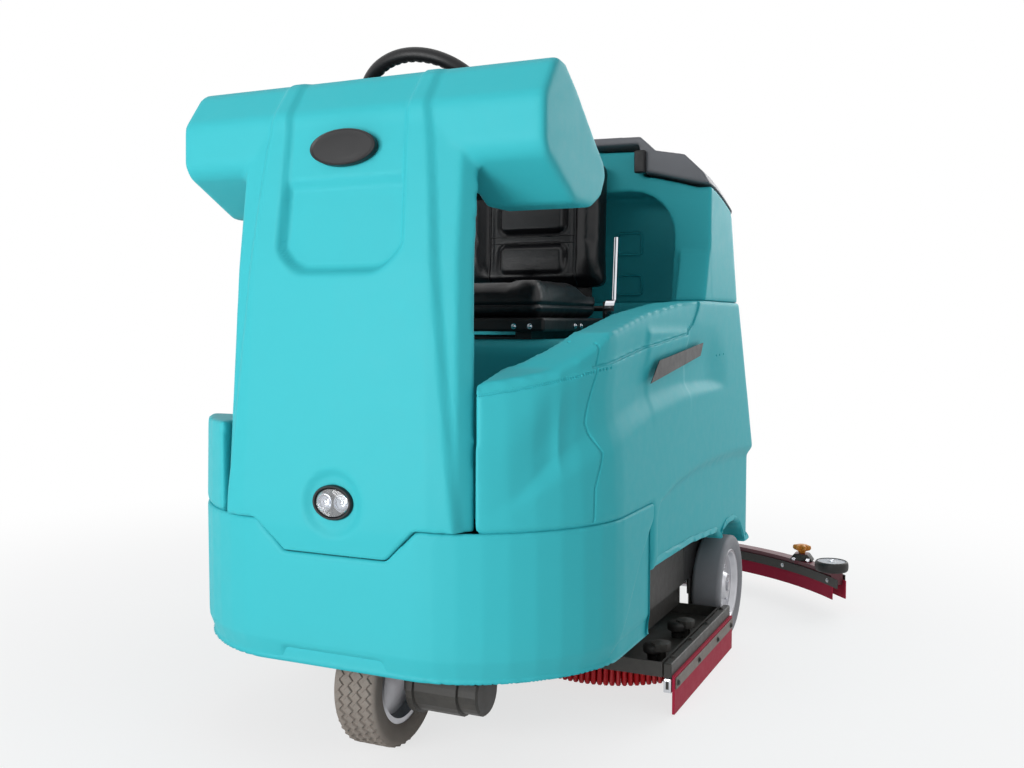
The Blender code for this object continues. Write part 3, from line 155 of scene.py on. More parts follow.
def refined(piece, near, reach, shortest):
    tree = KDTree(len(near))
    for k, point in enumerate(near):
        tree.insert(point, k)
    tree.balance()
    bm = bmesh.new()
    bm.from_mesh(piece.data)
    for _ in range(4):
        chosen = []
        for edge in bm.edges:
            length = edge.calc_length()
            if length > shortest:
                middle = (edge.verts[0].co + edge.verts[1].co) / 2
                if tree.find(middle)[2] < reach + length / 2:
                    chosen.append(edge)
        if not chosen:
            break
        bmesh.ops.subdivide_edges(bm, edges=chosen, cuts=1)
        bmesh.ops.triangulate(bm, faces=[face for face in bm.faces if len(face.verts) > 4])
    bm.to_mesh(piece.data)
    bm.free()
    return piece


# Presses narrow grooves into the shell along paths that lie on it.
def grooved(piece, paths, width, depth, shortest=0.0015):
    near = [point for path in paths for point in path]
    if not near:
        return piece
    refined(piece, near, width, shortest)
    tree = KDTree(len(near))
    for k, point in enumerate(near):
        tree.insert(point, k)
    tree.balance()
    co, out = pointsOf(piece), normalsOf(piece)
    away = np.array([tree.find(point)[2] for point in co])
    press = depth * (1 - ease(away, width * 0.25, width))
    setPoints(piece, co - out * press[:, None])
    return piece


# A softened copy of a hard-edged shell: remeshed evenly, rounded, then pressed into shape.
def moulded(name, nodeName, settings, press=None):
    shell = mergedCopy(nodeName, name)
    bm = bmesh.new()
    bm.from_mesh(shell.data)
    for low, high in settings.get("fill", ()):  # hollows that nothing shows
        low, high = at(*low), at(*high)
        block = Matrix.Translation((low + high) / 2) @ Matrix.Diagonal((*(high - low), 1))
        bmesh.ops.create_cube(bm, size=1, matrix=block)
    bm.to_mesh(shell.data)
    bm.free()
    remesh = shell.modifiers.new("even", "REMESH")
    remesh.mode = "VOXEL"
    remesh.voxel_size = settings["voxel"]
    soften = shell.modifiers.new("soften", "SMOOTH")
    soften.factor = 0.5
    soften.iterations = settings["rounds"]
    applied(shell)
    if press:
        co, out = pointsOf(shell), normalsOf(shell)
        co[:, 1] -= axleY
        co = press(co, out)
        co[:, 1] += axleY
        setPoints(shell, co)
        settle = shell.modifiers.new("settle", "SMOOTH")
        settle.factor = 0.5
        settle.iterations = settings.get("settle", 1)
        applied(shell)
    if settings.get("keep", 1) < 1:
        thin = shell.modifiers.new("thin", "DECIMATE")
        thin.ratio = settings["keep"]
        applied(shell)
    return shell


def treeOf(piece):
    bm = bmesh.new()
    bm.from_mesh(piece.data)
    tree = BVHTree.FromBMesh(bm)
    bm.free()
    return tree


# Shader groups
def newGroup(name, inputs, outputs):
    group = bpy.data.node_groups.new(name, "ShaderNodeTree")
    for label, kind, value in inputs:
        socket = group.interface.new_socket(label, in_out="INPUT", socket_type=kind)
        socket.default_value = value
    for label, kind in outputs:
        group.interface.new_socket(label, in_out="OUTPUT", socket_type=kind)
    start = group.nodes.new("NodeGroupInput")
    end = group.nodes.new("NodeGroupOutput")
    return group, start, end


def addNode(tree, kind, **values):
    node = tree.nodes.new(kind)
    for key, value in values.items():
        if hasattr(node, key) and not key[0].isupper():
            setattr(node, key, value)
    return node


def math2(tree, operation, a, b=None, clamp=False):
    node = tree.nodes.new("ShaderNodeMath")
    node.operation = operation
    node.use_clamp = clamp
    for socket, value in zip(node.inputs, (a, b)):
        if value is None:
            continue
        if isinstance(value, bpy.types.NodeSocket):
            tree.links.new(value, socket)
        else:
            socket.default_value = value
    return node.outputs[0]


# Slow colour variation, scuffs and floor dust on a plain surface.
def makeMottleGroup():
    group, start, end = newGroup("mottleAndDust", [
        ("Base", "NodeSocketColor", (0.5, 0.5, 0.5, 1)), ("Worn", "NodeSocketColor", (0.6, 0.6, 0.6, 1)),
        ("Dust", "NodeSocketColor", (0.35, 0.33, 0.30, 1)), ("Variation", "NodeSocketFloat", 0.2),
        ("Dust Height", "NodeSocketFloat", 0.35), ("Dust Amount", "NodeSocketFloat", 0.3),
        ("Scuff Scale", "NodeSocketFloat", 40.0), ("Rough Low", "NodeSocketFloat", 0.35),
        ("Rough High", "NodeSocketFloat", 0.5)],
        [("Color", "NodeSocketColor"), ("Roughness", "NodeSocketFloat"), ("Scuff", "NodeSocketFloat")])
    link = group.links.new
    place = addNode(group, "ShaderNodeTexCoord")
    slow = addNode(group, "ShaderNodeTexNoise")
    slow.inputs["Scale"].default_value = 3.2
    slow.inputs["Detail"].default_value = 4
    link(place.outputs["Object"], slow.inputs["Vector"])
    fine = addNode(group, "ShaderNodeTexNoise")
    fine.inputs["Detail"].default_value = 8
    fine.inputs["Roughness"].default_value = 0.7
    link(place.outputs["Object"], fine.inputs["Vector"])
    link(start.outputs["Scuff Scale"], fine.inputs["Scale"])
    scuff = addNode(group, "ShaderNodeMapRange")
    scuff.inputs["From Min"].default_value = 0.60
    scuff.inputs["From Max"].default_value = 0.78
    link(fine.outputs["Fac"], scuff.inputs["Value"])
    amount = math2(group, "MULTIPLY", slow.outputs["Fac"], start.outputs["Variation"])
    amount = math2(group, "ADD", amount, math2(group, "MULTIPLY", scuff.outputs["Result"], 0.12), True)
    worn = addNode(group, "ShaderNodeMix", data_type="RGBA")
    link(amount, worn.inputs["Factor"])
    link(start.outputs["Base"], worn.inputs["A"])
    link(start.outputs["Worn"], worn.inputs["B"])
    split = addNode(group, "ShaderNodeSeparateXYZ")
    link(place.outputs["Object"], split.inputs[0])
    level = math2(group, "DIVIDE", split.outputs["Z"], start.outputs["Dust Height"])
    low = math2(group, "SUBTRACT", 1.0, level, True)
    dust = math2(group, "MULTIPLY", math2(group, "MULTIPLY", low, fine.outputs["Fac"]),
                 start.outputs["Dust Amount"], True)
    dusty = addNode(group, "ShaderNodeMix", data_type="RGBA")
    link(dust, dusty.inputs["Factor"])
    link(worn.outputs["Result"], dusty.inputs["A"])
    link(start.outputs["Dust"], dusty.inputs["B"])
    rough = addNode(group, "ShaderNodeMapRange")
    link(fine.outputs["Fac"], rough.inputs["Value"])
    rough.inputs["From Min"].default_value = 0.3
    rough.inputs["From Max"].default_value = 0.75
    link(start.outputs["Rough Low"], rough.inputs["To Min"])
    link(start.outputs["Rough High"], rough.inputs["To Max"])
    link(dusty.outputs["Result"], end.inputs["Color"])
    link(math2(group, "ADD", rough.outputs["Result"], math2(group, "MULTIPLY", dust, 0.4), True),
         end.inputs["Roughness"])
    link(scuff.outputs["Result"], end.inputs["Scuff"])
    return group


# Fine height pattern: pebble grain from cells, softened by noise.
def makeGrainGroup():
    group, start, end = newGroup("pebbleGrain", [
        ("Scale", "NodeSocketFloat", 900.0), ("Softness", "NodeSocketFloat", 0.5)],
                                 [("Height", "NodeSocketFloat")])
    link = group.links.new
    place = addNode(group, "ShaderNodeTexCoord")
    cells = addNode(group, "ShaderNodeTexVoronoi", feature="SMOOTH_F1")
    link(place.outputs["Object"], cells.inputs["Vector"])
    link(start.outputs["Scale"], cells.inputs["Scale"])
    link(start.outputs["Softness"], cells.inputs["Smoothness"])
    cloud = addNode(group, "ShaderNodeTexNoise")
    cloud.inputs["Detail"].default_value = 3
    link(place.outputs["Object"], cloud.inputs["Vector"])
    link(math2(group, "MULTIPLY", start.outputs["Scale"], 0.35), cloud.inputs["Scale"])
    height = math2(group, "ADD", math2(group, "MULTIPLY", cells.outputs["Distance"], 0.6),
                   math2(group, "MULTIPLY", cloud.outputs["Fac"], 0.5))
    link(height, end.inputs["Height"])
    return group


mottleGroup = makeMottleGroup()
grainGroup = makeGrainGroup()


def linear(red, green, blue):
    return tuple(c / 255 / 12.92 if c < 11 else ((c / 255 + 0.055) / 1.055) ** 2.4
                 for c in (red, green, blue)) + (1.0,)


def makeFinish(name, base, worn, rough=(0.35, 0.5), metallic=0.0, grain=(900.0, 0.5, 0.0004, 0.15),
               variation=0.25, dustHeight=0.35, dust=0.25, scuffScale=35.0, coat=0.0,
               dustColour=(120, 116, 108), specular=0.5):
    material = bpy.data.materials.new(name)
    material.use_nodes = True
    tree = material.node_tree
    shader = tree.nodes["Principled BSDF"]
    mottle = tree.nodes.new("ShaderNodeGroup")
    mottle.node_tree = mottleGroup
    for label, value in (("Base", linear(*base)), ("Worn", linear(*worn)), ("Dust", linear(*dustColour)),
                         ("Variation", variation), ("Dust Height", dustHeight), ("Dust Amount", dust),
                         ("Scuff Scale", scuffScale), ("Rough Low", rough[0]), ("Rough High", rough[1])):
        mottle.inputs[label].default_value = value
    tree.links.new(mottle.outputs["Color"], shader.inputs["Base Color"])
    tree.links.new(mottle.outputs["Roughness"], shader.inputs["Roughness"])
    shader.inputs["Metallic"].default_value = metallic
    shader.inputs["Specular IOR Level"].default_value = specular
    shader.inputs["Coat Weight"].default_value = coat
    if grain:
        scale, softness, distance, strength = grain
        pebble = tree.nodes.new("ShaderNodeGroup")
        pebble.node_tree = grainGroup
        pebble.inputs["Scale"].default_value = scale
        pebble.inputs["Softness"].default_value = softness
        bump = tree.nodes.new("ShaderNodeBump")
        bump.inputs["Distance"].default_value = distance
        bump.inputs["Strength"].default_value = strength
        tree.links.new(pebble.outputs["Height"], bump.inputs["Height"])
        tree.links.new(bump.outputs["Normal"], shader.inputs["Normal"])
    return material


print("making the finishes")
finishes = {
    "body_teal": makeFinish("mouldedTeal", (57, 179, 188), (74, 190, 198), rough=(0.46, 0.58), specular=0.16,
                            grain=(700.0, 0.6, 0.0003, 0.10), variation=0.22, dustHeight=0.30, dust=0.18),
    "lid_grey": makeFinish("lidGrey", (104, 105, 110), (120, 120, 125), rough=(0.42, 0.55), variation=0.3),
    "black_plastic": makeFinish("blackPlastic", (17, 17, 19), (34, 34, 36), rough=(0.36, 0.55),
                                variation=0.35, specular=0.35),
    "black_steel": makeFinish("paintedSteel", (16, 16, 18), (42, 41, 40), rough=(0.32, 0.5), variation=0.3,
                              specular=0.35,
                              dust=0.45, dustHeight=0.5),
    "steel": makeFinish("castAluminium", (196, 197, 202), (150, 150, 156), rough=(0.28, 0.45), metallic=1.0,
                        grain=(350.0, 0.4, 0.0006, 0.25), dust=0.3),
    "chrome": makeFinish("chromedSteel", (215, 217, 222), (188, 190, 196), rough=(0.08, 0.18), metallic=1.0,
                         grain=None,
                         dust=0.1),
    "black_vinyl": makeFinish("grainedVinyl", (14, 14, 17), (26, 26, 30), rough=(0.28, 0.42), specular=0.4,
                              grain=(620.0, 0.35, 0.0007, 0.45), variation=0.3, dust=0.0),
    "drive_tread": makeFinish("treadRubber", (142, 132, 124), (112, 104, 98), rough=(0.7, 0.88),
                              variation=0.6,
                              grain=(260.0, 0.5, 0.001, 0.4), dust=0.5),
    "grey_tyre": makeFinish("greyRubber", (146, 147, 152), (120, 120, 125), rough=(0.6, 0.8), variation=0.5,
                            grain=(300.0, 0.5, 0.0008, 0.3), dust=0.35),
    "red_rubber": makeFinish("crimsonRubber", (178, 26, 62), (146, 20, 48), rough=(0.48, 0.62),
                             variation=0.35, specular=0.12,
                             dust=0.15),
    "red_bristle": makeFinish("redBristle", (214, 16, 30), (170, 10, 20), rough=(0.45, 0.6), variation=0.5,
                              dust=0.0),
    "maroon_steel": makeFinish("maroonPaint", (92, 10, 34), (120, 30, 50), rough=(0.25, 0.4), variation=0.3,
                               dust=0.2),
    "orange_plastic": makeFinish("orangePlastic", (226, 146, 44), (200, 120, 30), rough=(0.32, 0.45),
                                 variation=0.3),
    "battery_case": makeFinish("batteryCase", (48, 50, 54), (66, 66, 70), rough=(0.45, 0.6), dust=0.0),
    "stop_red": makeFinish("stopRed", (196, 20, 22), (170, 16, 18), rough=(0.28, 0.4), variation=0.2,
                           dust=0.0),
}


def makeLampGlass():
    material = bpy.data.materials.new("lampGlass")
    material.use_nodes = True
    tree = material.node_tree
    shader = tree.nodes["Principled BSDF"]
    shader.inputs["Base Color"].default_value = (0.93, 0.95, 0.97, 1)
    shader.inputs["Transmission Weight"].default_value = 0.9
    shader.inputs["IOR"].default_value = 1.46
    ripple = tree.nodes.new("ShaderNodeTexNoise")
    ripple.inputs["Scale"].default_value = 300.0
    place = tree.nodes.new("ShaderNodeTexCoord")
    tree.links.new(place.outputs["Object"], ripple.inputs["Vector"])
    spread = tree.nodes.new("ShaderNodeMapRange")
    spread.inputs["To Min"].default_value = 0.02
    spread.inputs["To Max"].default_value = 0.10
    tree.links.new(ripple.outputs["Fac"], spread.inputs["Value"])
    tree.links.new(spread.outputs["Result"], shader.inputs["Roughness"])
    return material


finishes["lamp_glass"] = makeLampGlass()
dullStrip = makeFinish("dullStrip", (112, 102, 94), (90, 82, 76), rough=(0.4, 0.6), variation=0.4, dust=0.3)
paleDisc = makeFinish("paleDisc", (200, 200, 206), (176, 176, 182), rough=(0.35, 0.5), variation=0.3,
                      dust=0.2)
slotOf = {row["node"]: row["material_slot"] for row in frame["record"]["subparts"]}
for nodeName, node in nodes.items():
    node.data.materials.clear()
    node.data.materials.append(finishes[slotOf[nodeName]])


# The camera stands low, in front of the machine's left corner
camera = bpy.data.objects.new("camera", bpy.data.cameras.new("camera"))
scene.collection.objects.link(camera)
cameraPlace = {"stand": (1.1755, -1.9084, 0.8889), "pitch": 86.7, "turn": 24.9, "lens": 37.55}
camera.location = at(*cameraPlace["stand"])
camera.rotation_euler = (math.radians(cameraPlace["pitch"]), 0, math.radians(cameraPlace["turn"]))
camera.data.lens = cameraPlace["lens"]
camera.data.sensor_width = 36
scene.camera = camera


# Body shells
print("moulding the shells")
bandTop = [(-0.175, 0.536), (-0.15, 0.545), (-0.12, 0.577), (-0.075, 0.632), (-0.04, 0.657), (0.02, 0.690),
           (0.178, 0.724), (0.317, 0.741), (0.558, 0.750), (0.851, 0.741), (1.0, 0.725)]
bandFoot = [(-0.175, 0.530), (-0.14, 0.541), (-0.09, 0.582), (-0.03, 0.612), (0.04, 0.637), (0.179, 0.673),
            (0.318, 0.696), (0.559, 0.717), (0.851, 0.722), (1.0, 0.712)]
fenderTop = [(0.33, 0.470), (0.353, 0.497), (0.48, 0.525), (0.657, 0.541), (0.859, 0.543), (1.067, 0.539),
             (1.32, 0.521)]
fenderFoot = [(0.33, 0.448), (0.353, 0.470), (0.481, 0.494), (0.658, 0.507), (0.861, 0.509), (1.069, 0.501),
              (1.30, 0.487)]
rimLine = [(-0.175, 0.754), (-0.11, 0.770), (-0.05, 0.782), (0.02, 0.803), (0.315, 0.838), (0.60, 0.862),
           (0.655, 0.885), (0.70, 0.918), (0.722, 0.940)]
sideSeam = [(0.045, 0.872), (0.028, 0.80), (0.008, 0.694), (0.030, 0.637), (0.006, 0.57), (0.002, 0.506)]
hidden = [((side * 0.443 - 0.042, 0.31, 0.345), (side * 0.443 + 0.042, 0.61, 0.87)) for side in (1, -1)]
hidden += [((-0.45, 0.71, 0.425), (0.45, 1.17, 0.845)), ((-0.45, 0.91, 0.79), (0.45, 1.17, 0.940))]
bodySettings = {"voxel": 0.0060, "rounds": 10, "settle": 2, "keep": 0.28, "fill": hidden,
                "bandDepth": 0.018, "fenderDepth": 0.018, "rimDepth": 0.007,
                "grooveWidth": 0.0042, "grooveDepth": 0.0032}


def pressBody(co, out):
    x, y, z = co.T
    side = np.sign(x)
    outer = ease(np.abs(out[:, 0]) + np.abs(out[:, 1]) * 0.9, 0.25, 0.75) * ease(np.abs(x), 0.19, 0.23)
    outer *= (np.maximum(ease(np.abs(x), 0.385, 0.440), ease(-y, 0.02, 0.08))
              * ease(out[:, 0] * side, -0.3, 0.1))
    top, foot = lineAt(bandTop, y), lineAt(bandFoot, y)
    ends = ease(y, -0.17, -0.05) * (1 - ease(y, 0.80, 1.0))
    ends = np.where(x < 0, ends * ease(y, 0.42, 0.52), ends)
    press = (bodySettings["bandDepth"] * ease(z, foot - 0.012, top)
             * (1 - ease(z, top + 0.03, top + 0.15)) * ends)
    fender = ease(z, lineAt(fenderFoot, y), lineAt(fenderTop, y))
    press += bodySettings["fenderDepth"] * (1 - fender) * ease(y, 0.325, 0.36)
    rim = lineAt(rimLine, y)
    raised = ease(z, rim - 0.004, rim + 0.004) * (1 - ease(y, 0.70, 0.75))
    raised = np.where(x < 0, raised * ease(y, 0.42, 0.48), raised)
    press += bodySettings["rimDepth"] * raised
    return co - out * (press * outer)[:, None]


body = moulded("bodyShell", "base_body", bodySettings, pressBody)
tree = treeOf(body)
grooves = []
for side in (1, -1):
    sideways = [at(side * 0.6, y, z) for y, z in rimLine if y > 0.01 and (side > 0 or y > 0.42)]
    grooves.append(onSurface(tree, sideways, (-side, 0, 0), 0.2))
    if side > 0:
        grooves.append(onSurface(tree, [at(0.6, y, z) for y, z in sideSeam], (-1, 0, 0), 0.2))
        nose = [at(0.29, -0.6, 0.754), at(0.36, -0.6, 0.766), at(0.43, -0.6, 0.784), at(0.478, -0.6, 0.803)]
        grooves.append(onSurface(tree, nose, (0, 1, 0), 0.2))
    else:
        grooves.append(onSurface(tree, [at(-0.6, 0.42, 0.84), at(-0.6, 0.40, 0.60), at(-0.6, 0.42, 0.50)],
                                 (1, 0, 0), 0.2))
grooved(body, grooves, bodySettings["grooveWidth"], bodySettings["grooveDepth"])
finished(body, "machine", finishes["body_teal"], ["base_body"], 60)
print("body", len(body.data.polygons))

bumperSettings = {"voxel": 0.0055, "rounds": 3, "stepDepth": 0.009, "tuck": 0.35, "tuckHeight": 0.256}
bumperStep = [(0.22, 0.055), (0.30, 0.135), (0.391, 0.212), (0.433, 0.262), (0.50, 0.345)]


def pressBumper(co, out):
    x, y, z = co.T
    step = ease(y - lineAt(bumperStep, z), -0.005, 0.008)
    press = bumperSettings["stepDepth"] * step
    press += np.clip(bumperSettings["tuckHeight"] - z, 0, 1) * bumperSettings["tuck"]
    recess = (1 - ease(np.abs(x + 0.01), 0.105, 0.125)) * (y < -0.1) * (1 - ease(z, 0.238, 0.246))
    press += 0.010 * recess
    flat = out.copy()
    flat[:, 2] = 0
    outward = np.stack([x, y - 0.1, np.zeros_like(x)], axis=1)
    outer = (flat * outward).sum(axis=1) > 0
    return co - flat * (press * outer)[:, None]


bumper = moulded("bumperShell", "front_bumper", bumperSettings, pressBumper)
finished(bumper, "machine", finishes["body_teal"], ["front_bumper"], 60)
print("bumper", len(bumper.data.polygons))

cowlSettings = {"voxel": 0.0055, "rounds": 3, "rib": 0.011, "pocket": 0.012, "lampDish": 0.010}
ribInner = [(0.90, 0.150), (1.04, 0.1425), (1.15, 0.139), (1.27, 0.136), (1.38, 0.1415)]
ribOuter = [(0.50, 0.262), (0.60, 0.25), (0.934, 0.214), (1.119, 0.196), (1.23, 0.184), (1.30, 0.173),
            (1.38, 0.172)]


def pressCowl(co, out):
    x, y, z = co.T
    across = np.abs(x)
    front = (out[:, 1] < -0.25) | ((z > 1.28) & (out[:, 2] > 0.3) & (y < 0.03))
    inner, outer = lineAt(ribInner, z), lineAt(ribOuter, z)
    band = 1 - ease(across, outer - 0.004, outer + 0.012)
    pocketFoot = 0.985 + 1.2 * np.clip(across - 0.07, 0, 1) ** 2 * 8
    pocket = ((1 - ease(across, inner - 0.010, inner + 0.003))
              * ease(z, pocketFoot - 0.006, pocketFoot + 0.012))
    pocket *= 1 - ease(z, 1.147, 1.176)
    above = (1 - ease(across, inner - 0.006, inner + 0.004)) * ease(z, 1.147, 1.176)
    lift = cowlSettings["rib"] * band * (1 - above) - (cowlSettings["rib"] + cowlSettings["pocket"]) * pocket
    away = np.hypot(x - 0.004, z - 0.540)
    lift -= cowlSettings["lampDish"] * (1 - ease(away, 0.050, 0.072)) * (z > 0.44)
    fade = ease(z, 0.44, 0.50)
    co = co.copy()
    co[:, 1] -= np.where(front, lift * (0.3 + 0.7 * fade), 0)
    return co


cowl = moulded("cowlShell", "front_cowl", cowlSettings, pressCowl)
finished(cowl, "machine", finishes["body_teal"], ["front_cowl"], 60)
print("cowl", len(cowl.data.polygons))

tankShell = moulded("tankShell", "recovery_tank", {"voxel": 0.0055, "rounds": 3})
finished(tankShell, "machine", finishes["body_teal"], ["recovery_tank"], 60)
lidShell = moulded("lidShell", "tank_lid", {"voxel": 0.0035, "rounds": 2})
finished(lidShell, "lid", finishes["lid_grey"], ["tank_lid"], 60)
hoodShell = moulded("hoodShell", "seat_hood", {"voxel": 0.0065, "rounds": 3})
finished(hoodShell, "hood", finishes["body_teal"], ["seat_hood"], 60)
print("tank", len(tankShell.data.polygons), "lid", len(lidShell.data.polygons), "hood",
      len(hoodShell.data.polygons))


# Repeated pieces, by geometry nodes
# Places one small shape on every point, along the point's own direction, as one real mesh.
def scatterTree(name, shape, inputs):
    tree = bpy.data.node_groups.new(name, "GeometryNodeTree")
    face = tree.interface
    face.new_socket("Geometry", in_out="INPUT", socket_type="NodeSocketGeometry")
    for label, value in inputs.items():
        face.new_socket(label, in_out="INPUT", socket_type="NodeSocketFloat").default_value = value
    face.new_socket("Finish", in_out="INPUT", socket_type="NodeSocketMaterial")
    face.new_socket("Geometry", in_out="OUTPUT", socket_type="NodeSocketGeometry")
    start, end = tree.nodes.new("NodeGroupInput"), tree.nodes.new("NodeGroupOutput")
    link = tree.links.new
    out = tree.nodes.new("GeometryNodeInputNamedAttribute")
    out.data_type = "FLOAT_VECTOR"
    out.inputs["Name"].default_value = "out"
    size = tree.nodes.new("GeometryNodeInputNamedAttribute")
    size.data_type = "FLOAT"
    size.inputs["Name"].default_value = "size"
    turn = tree.nodes.new("FunctionNodeAlignRotationToVector")
    turn.axis = "Z"
    link(out.outputs["Attribute"], turn.inputs["Vector"])
    placed = tree.nodes.new("GeometryNodeInstanceOnPoints")
    link(start.outputs["Geometry"], placed.inputs["Points"])
    link(shape(tree, start), placed.inputs["Instance"])
    link(turn.outputs["Rotation"], placed.inputs["Rotation"])
    link(size.outputs["Attribute"], placed.inputs["Scale"])
    real = tree.nodes.new("GeometryNodeRealizeInstances")
    link(placed.outputs["Instances"], real.inputs["Geometry"])
    finish = tree.nodes.new("GeometryNodeSetMaterial")
    link(real.outputs["Geometry"], finish.inputs["Geometry"])
    link(start.outputs["Finish"], finish.inputs["Material"])
    link(finish.outputs["Geometry"], end.inputs["Geometry"])
    return tree


# Cones on one axis, each as (radius at its foot, radius at its top, height, level, sides).
def stackOf(tree, start, parts):
    joined = tree.nodes.new("GeometryNodeJoinGeometry")
    for foot, top, height, level, sides in parts:
        cone = tree.nodes.new("GeometryNodeMeshCone")
        cone.inputs["Vertices"].default_value = sides
        for label, share in (("Radius Bottom", foot), ("Radius Top", top)):
            value = math2(tree, "MULTIPLY", start.outputs["Radius"], share)
            tree.links.new(value, cone.inputs[label])
        tree.links.new(math2(tree, "MULTIPLY", start.outputs["Height"], height), cone.inputs["Depth"])
        move = tree.nodes.new("GeometryNodeTransform")
        lift = tree.nodes.new("ShaderNodeCombineXYZ")
        tree.links.new(math2(tree, "MULTIPLY", start.outputs["Height"], level), lift.inputs["Z"])
        tree.links.new(cone.outputs["Mesh"], move.inputs["Geometry"])
        tree.links.new(lift.outputs[0], move.inputs["Translation"])
        tree.links.new(move.outputs["Geometry"], joined.inputs["Geometry"])
    return joined.outputs["Geometry"]


def screwShape(tree, start):
    return stackOf(tree, start,
                   [(1.5, 1.45, 0.25, 0, 20), (1.0, 0.98, 0.55, 0.25, 16), (0.98, 0.62, 0.3, 0.8, 16),
                                 (0.42, 0.30, 0.12, 1.05, 6)])


def boltShape(tree, start):
    return stackOf(tree, start,
                   [(1.5, 1.45, 0.2, 0, 20), (1.0, 1.0, 0.7, 0.2, 6), (0.96, 0.75, 0.15, 0.9, 6)])


def tuftShape(tree, start):
    return stackOf(tree, start, [(1.0, 1.25, 1.0, 0, 7), (0.5, 0.9, 1.06, 0, 5)])


def lugShape(tree, start):
    return stackOf(tree, start, [(1.0, 0.78, 1.0, 0, 4)])


screwTree = scatterTree("screwHeads", screwShape, {"Radius": 0.005, "Height": 0.004})
boltTree = scatterTree("hexBolts", boltShape, {"Radius": 0.006, "Height": 0.006})
tuftTree = scatterTree("bristleTufts", tuftShape, {"Radius": 0.003, "Height": 0.04})
lugTree = scatterTree("treadLugs", lugShape, {"Radius": 0.008, "Height": 0.003})


# places holds (point, outward direction) pairs, in the world.
def scattered(name, tree, places, body, slot, material, **inputs):
    mesh = bpy.data.meshes.new(name)
    mesh.from_pydata([tuple(point) for point, _ in places], [], [])
    out = mesh.attributes.new("out", "FLOAT_VECTOR", "POINT")
    out.data.foreach_set("vector", [c for _, way in places for c in Vector(way).normalized()])
    size = mesh.attributes.new("size", "FLOAT", "POINT")
    size.data.foreach_set("value", [1.0] * len(places))
    piece = linked(name, mesh)
    modifier = piece.modifiers.new("repeat", "NODES")
    modifier.node_group = tree
    sockets = {item.name: item.identifier for item in tree.interface.items_tree if item.in_out == "INPUT"}
    for label, value in inputs.items():
        modifier[sockets[label]] = value
    modifier[sockets["Finish"]] = material
    applied(piece)
    piece.data.materials.clear()
    piece.data.materials.append(material)
    shaded(piece, 30)
    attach(piece, body)
    return piece


# Turned, drawn and piped shapes
# profile holds (radius, run along the axis) pairs; the ends close on the axis where their radius is 0.
def turned(name, profile, centre, axis, steps=64):
    axis = Vector(axis).normalized()
    turn = Vector((0, 0, 1)).rotation_difference(axis).to_matrix()
    bm = bmesh.new()
    rings = []
    for radius, run in profile:
        if radius < 1e-6:
            rings.append([bm.verts.new(centre + turn @ Vector((0, 0, run)))])
            continue
        ring = []
        for k in range(steps):
            angle = 2 * math.pi * k / steps
            ring.append(bm.verts.new(centre + turn @ Vector((radius * math.cos(angle),
                                                             radius * math.sin(angle), run))))
        rings.append(ring)
    closed = len(rings[0]) > 1 and len(rings[-1]) > 1
    for a, b in zip(rings, rings[1:] + (rings[:1] if closed else [])):
        for k in range(steps):
            quad = [a[k % len(a)], a[(k + 1) % len(a)], b[(k + 1) % len(b)], b[k % len(b)]]
            face = []
            for vertex in quad:
                if vertex not in face:
                    face.append(vertex)
            if len(face) > 2:
                bm.faces.new(face)
    return fromBmesh(name, bm)


# Rounds the inner corners of an open profile.
def rounded(profile, radius, steps=3):
    found = [profile[0]]
    for a, b, c in zip(profile, profile[1:], profile[2:]):
        a, b, c = Vector(a), Vector(b), Vector(c)
        near = min(radius, (a - b).length * 0.45, (c - b).length * 0.45)
        first, last = b + (a - b).normalized() * near, b + (c - b).normalized() * near
        for k in range(steps + 1):
            t = k / steps
            found.append(tuple(first * (1 - t) ** 2 + b * 2 * t * (1 - t) + last * t * t))
    return found + [profile[-1]]


def piped(name, path, radius, sides=8, closed=False):
    path = [Vector(point) for point in path]
    bm = bmesh.new()
    rings = []
    count = len(path)
    up = Vector((0.12, 0.31, 0.94)).normalized()
    for k, point in enumerate(path):
        before = path[(k - 1) % count] if closed or k else path[0]
        after = path[(k + 1) % count] if closed or k < count - 1 else path[-1]
        way = (after - before).normalized()
        across = way.cross(up).normalized()
        other = way.cross(across)
        rings.append([bm.verts.new(point + (across * math.cos(2 * math.pi * j / sides)
                                            + other * math.sin(2 * math.pi * j / sides)) * radius)
                      for j in range(sides)])
    pairs = list(zip(rings, rings[1:])) + ([(rings[-1], rings[0])] if closed else [])
    for a, b in pairs:
        for j in range(sides):
            bm.faces.new((a[j], a[(j + 1) % sides], b[(j + 1) % sides], b[j]))
    if not closed:
        bm.faces.new(rings[0])
        bm.faces.new(rings[-1][::-1])
    return fromBmesh(name, bm)


def block(name, low, high, edge=0.003, steps=3):
    bm = bmesh.new()
    low, high = Vector(low), Vector(high)
    bmesh.ops.create_cube(bm, size=1,
                          matrix=Matrix.Translation((low + high) / 2) @ Matrix.Diagonal((*(high - low), 1)))
    if edge:
        bmesh.ops.bevel(bm, geom=list(bm.edges), offset=edge, segments=steps, affect="EDGES", profile=0.5)
    return fromBmesh(name, bm)


def together(name, parts):
    bm = bmesh.new()
    for part in parts:
        bm.from_mesh(part.data)
        bpy.data.objects.remove(part)
    mesh = bpy.data.meshes.new(name)
    bm.to_mesh(mesh)
    bm.free()
    return linked(name, mesh)


def middle(nodeName):
    low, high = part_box(nodeName)
    return (low + high) / 2


# Lamp and badge on the cowl
print("making the lamp and the badge")
lampSettings = {"wide": 0.046, "tall": 0.0345, "reflector": 0.0155, "spread": 0.0187}
lampMiddle = middle("headlight_bezel")
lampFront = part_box("headlight_bezel")[0].y
lampPlace = Vector((0.002, lampFront, lampMiddle.z))


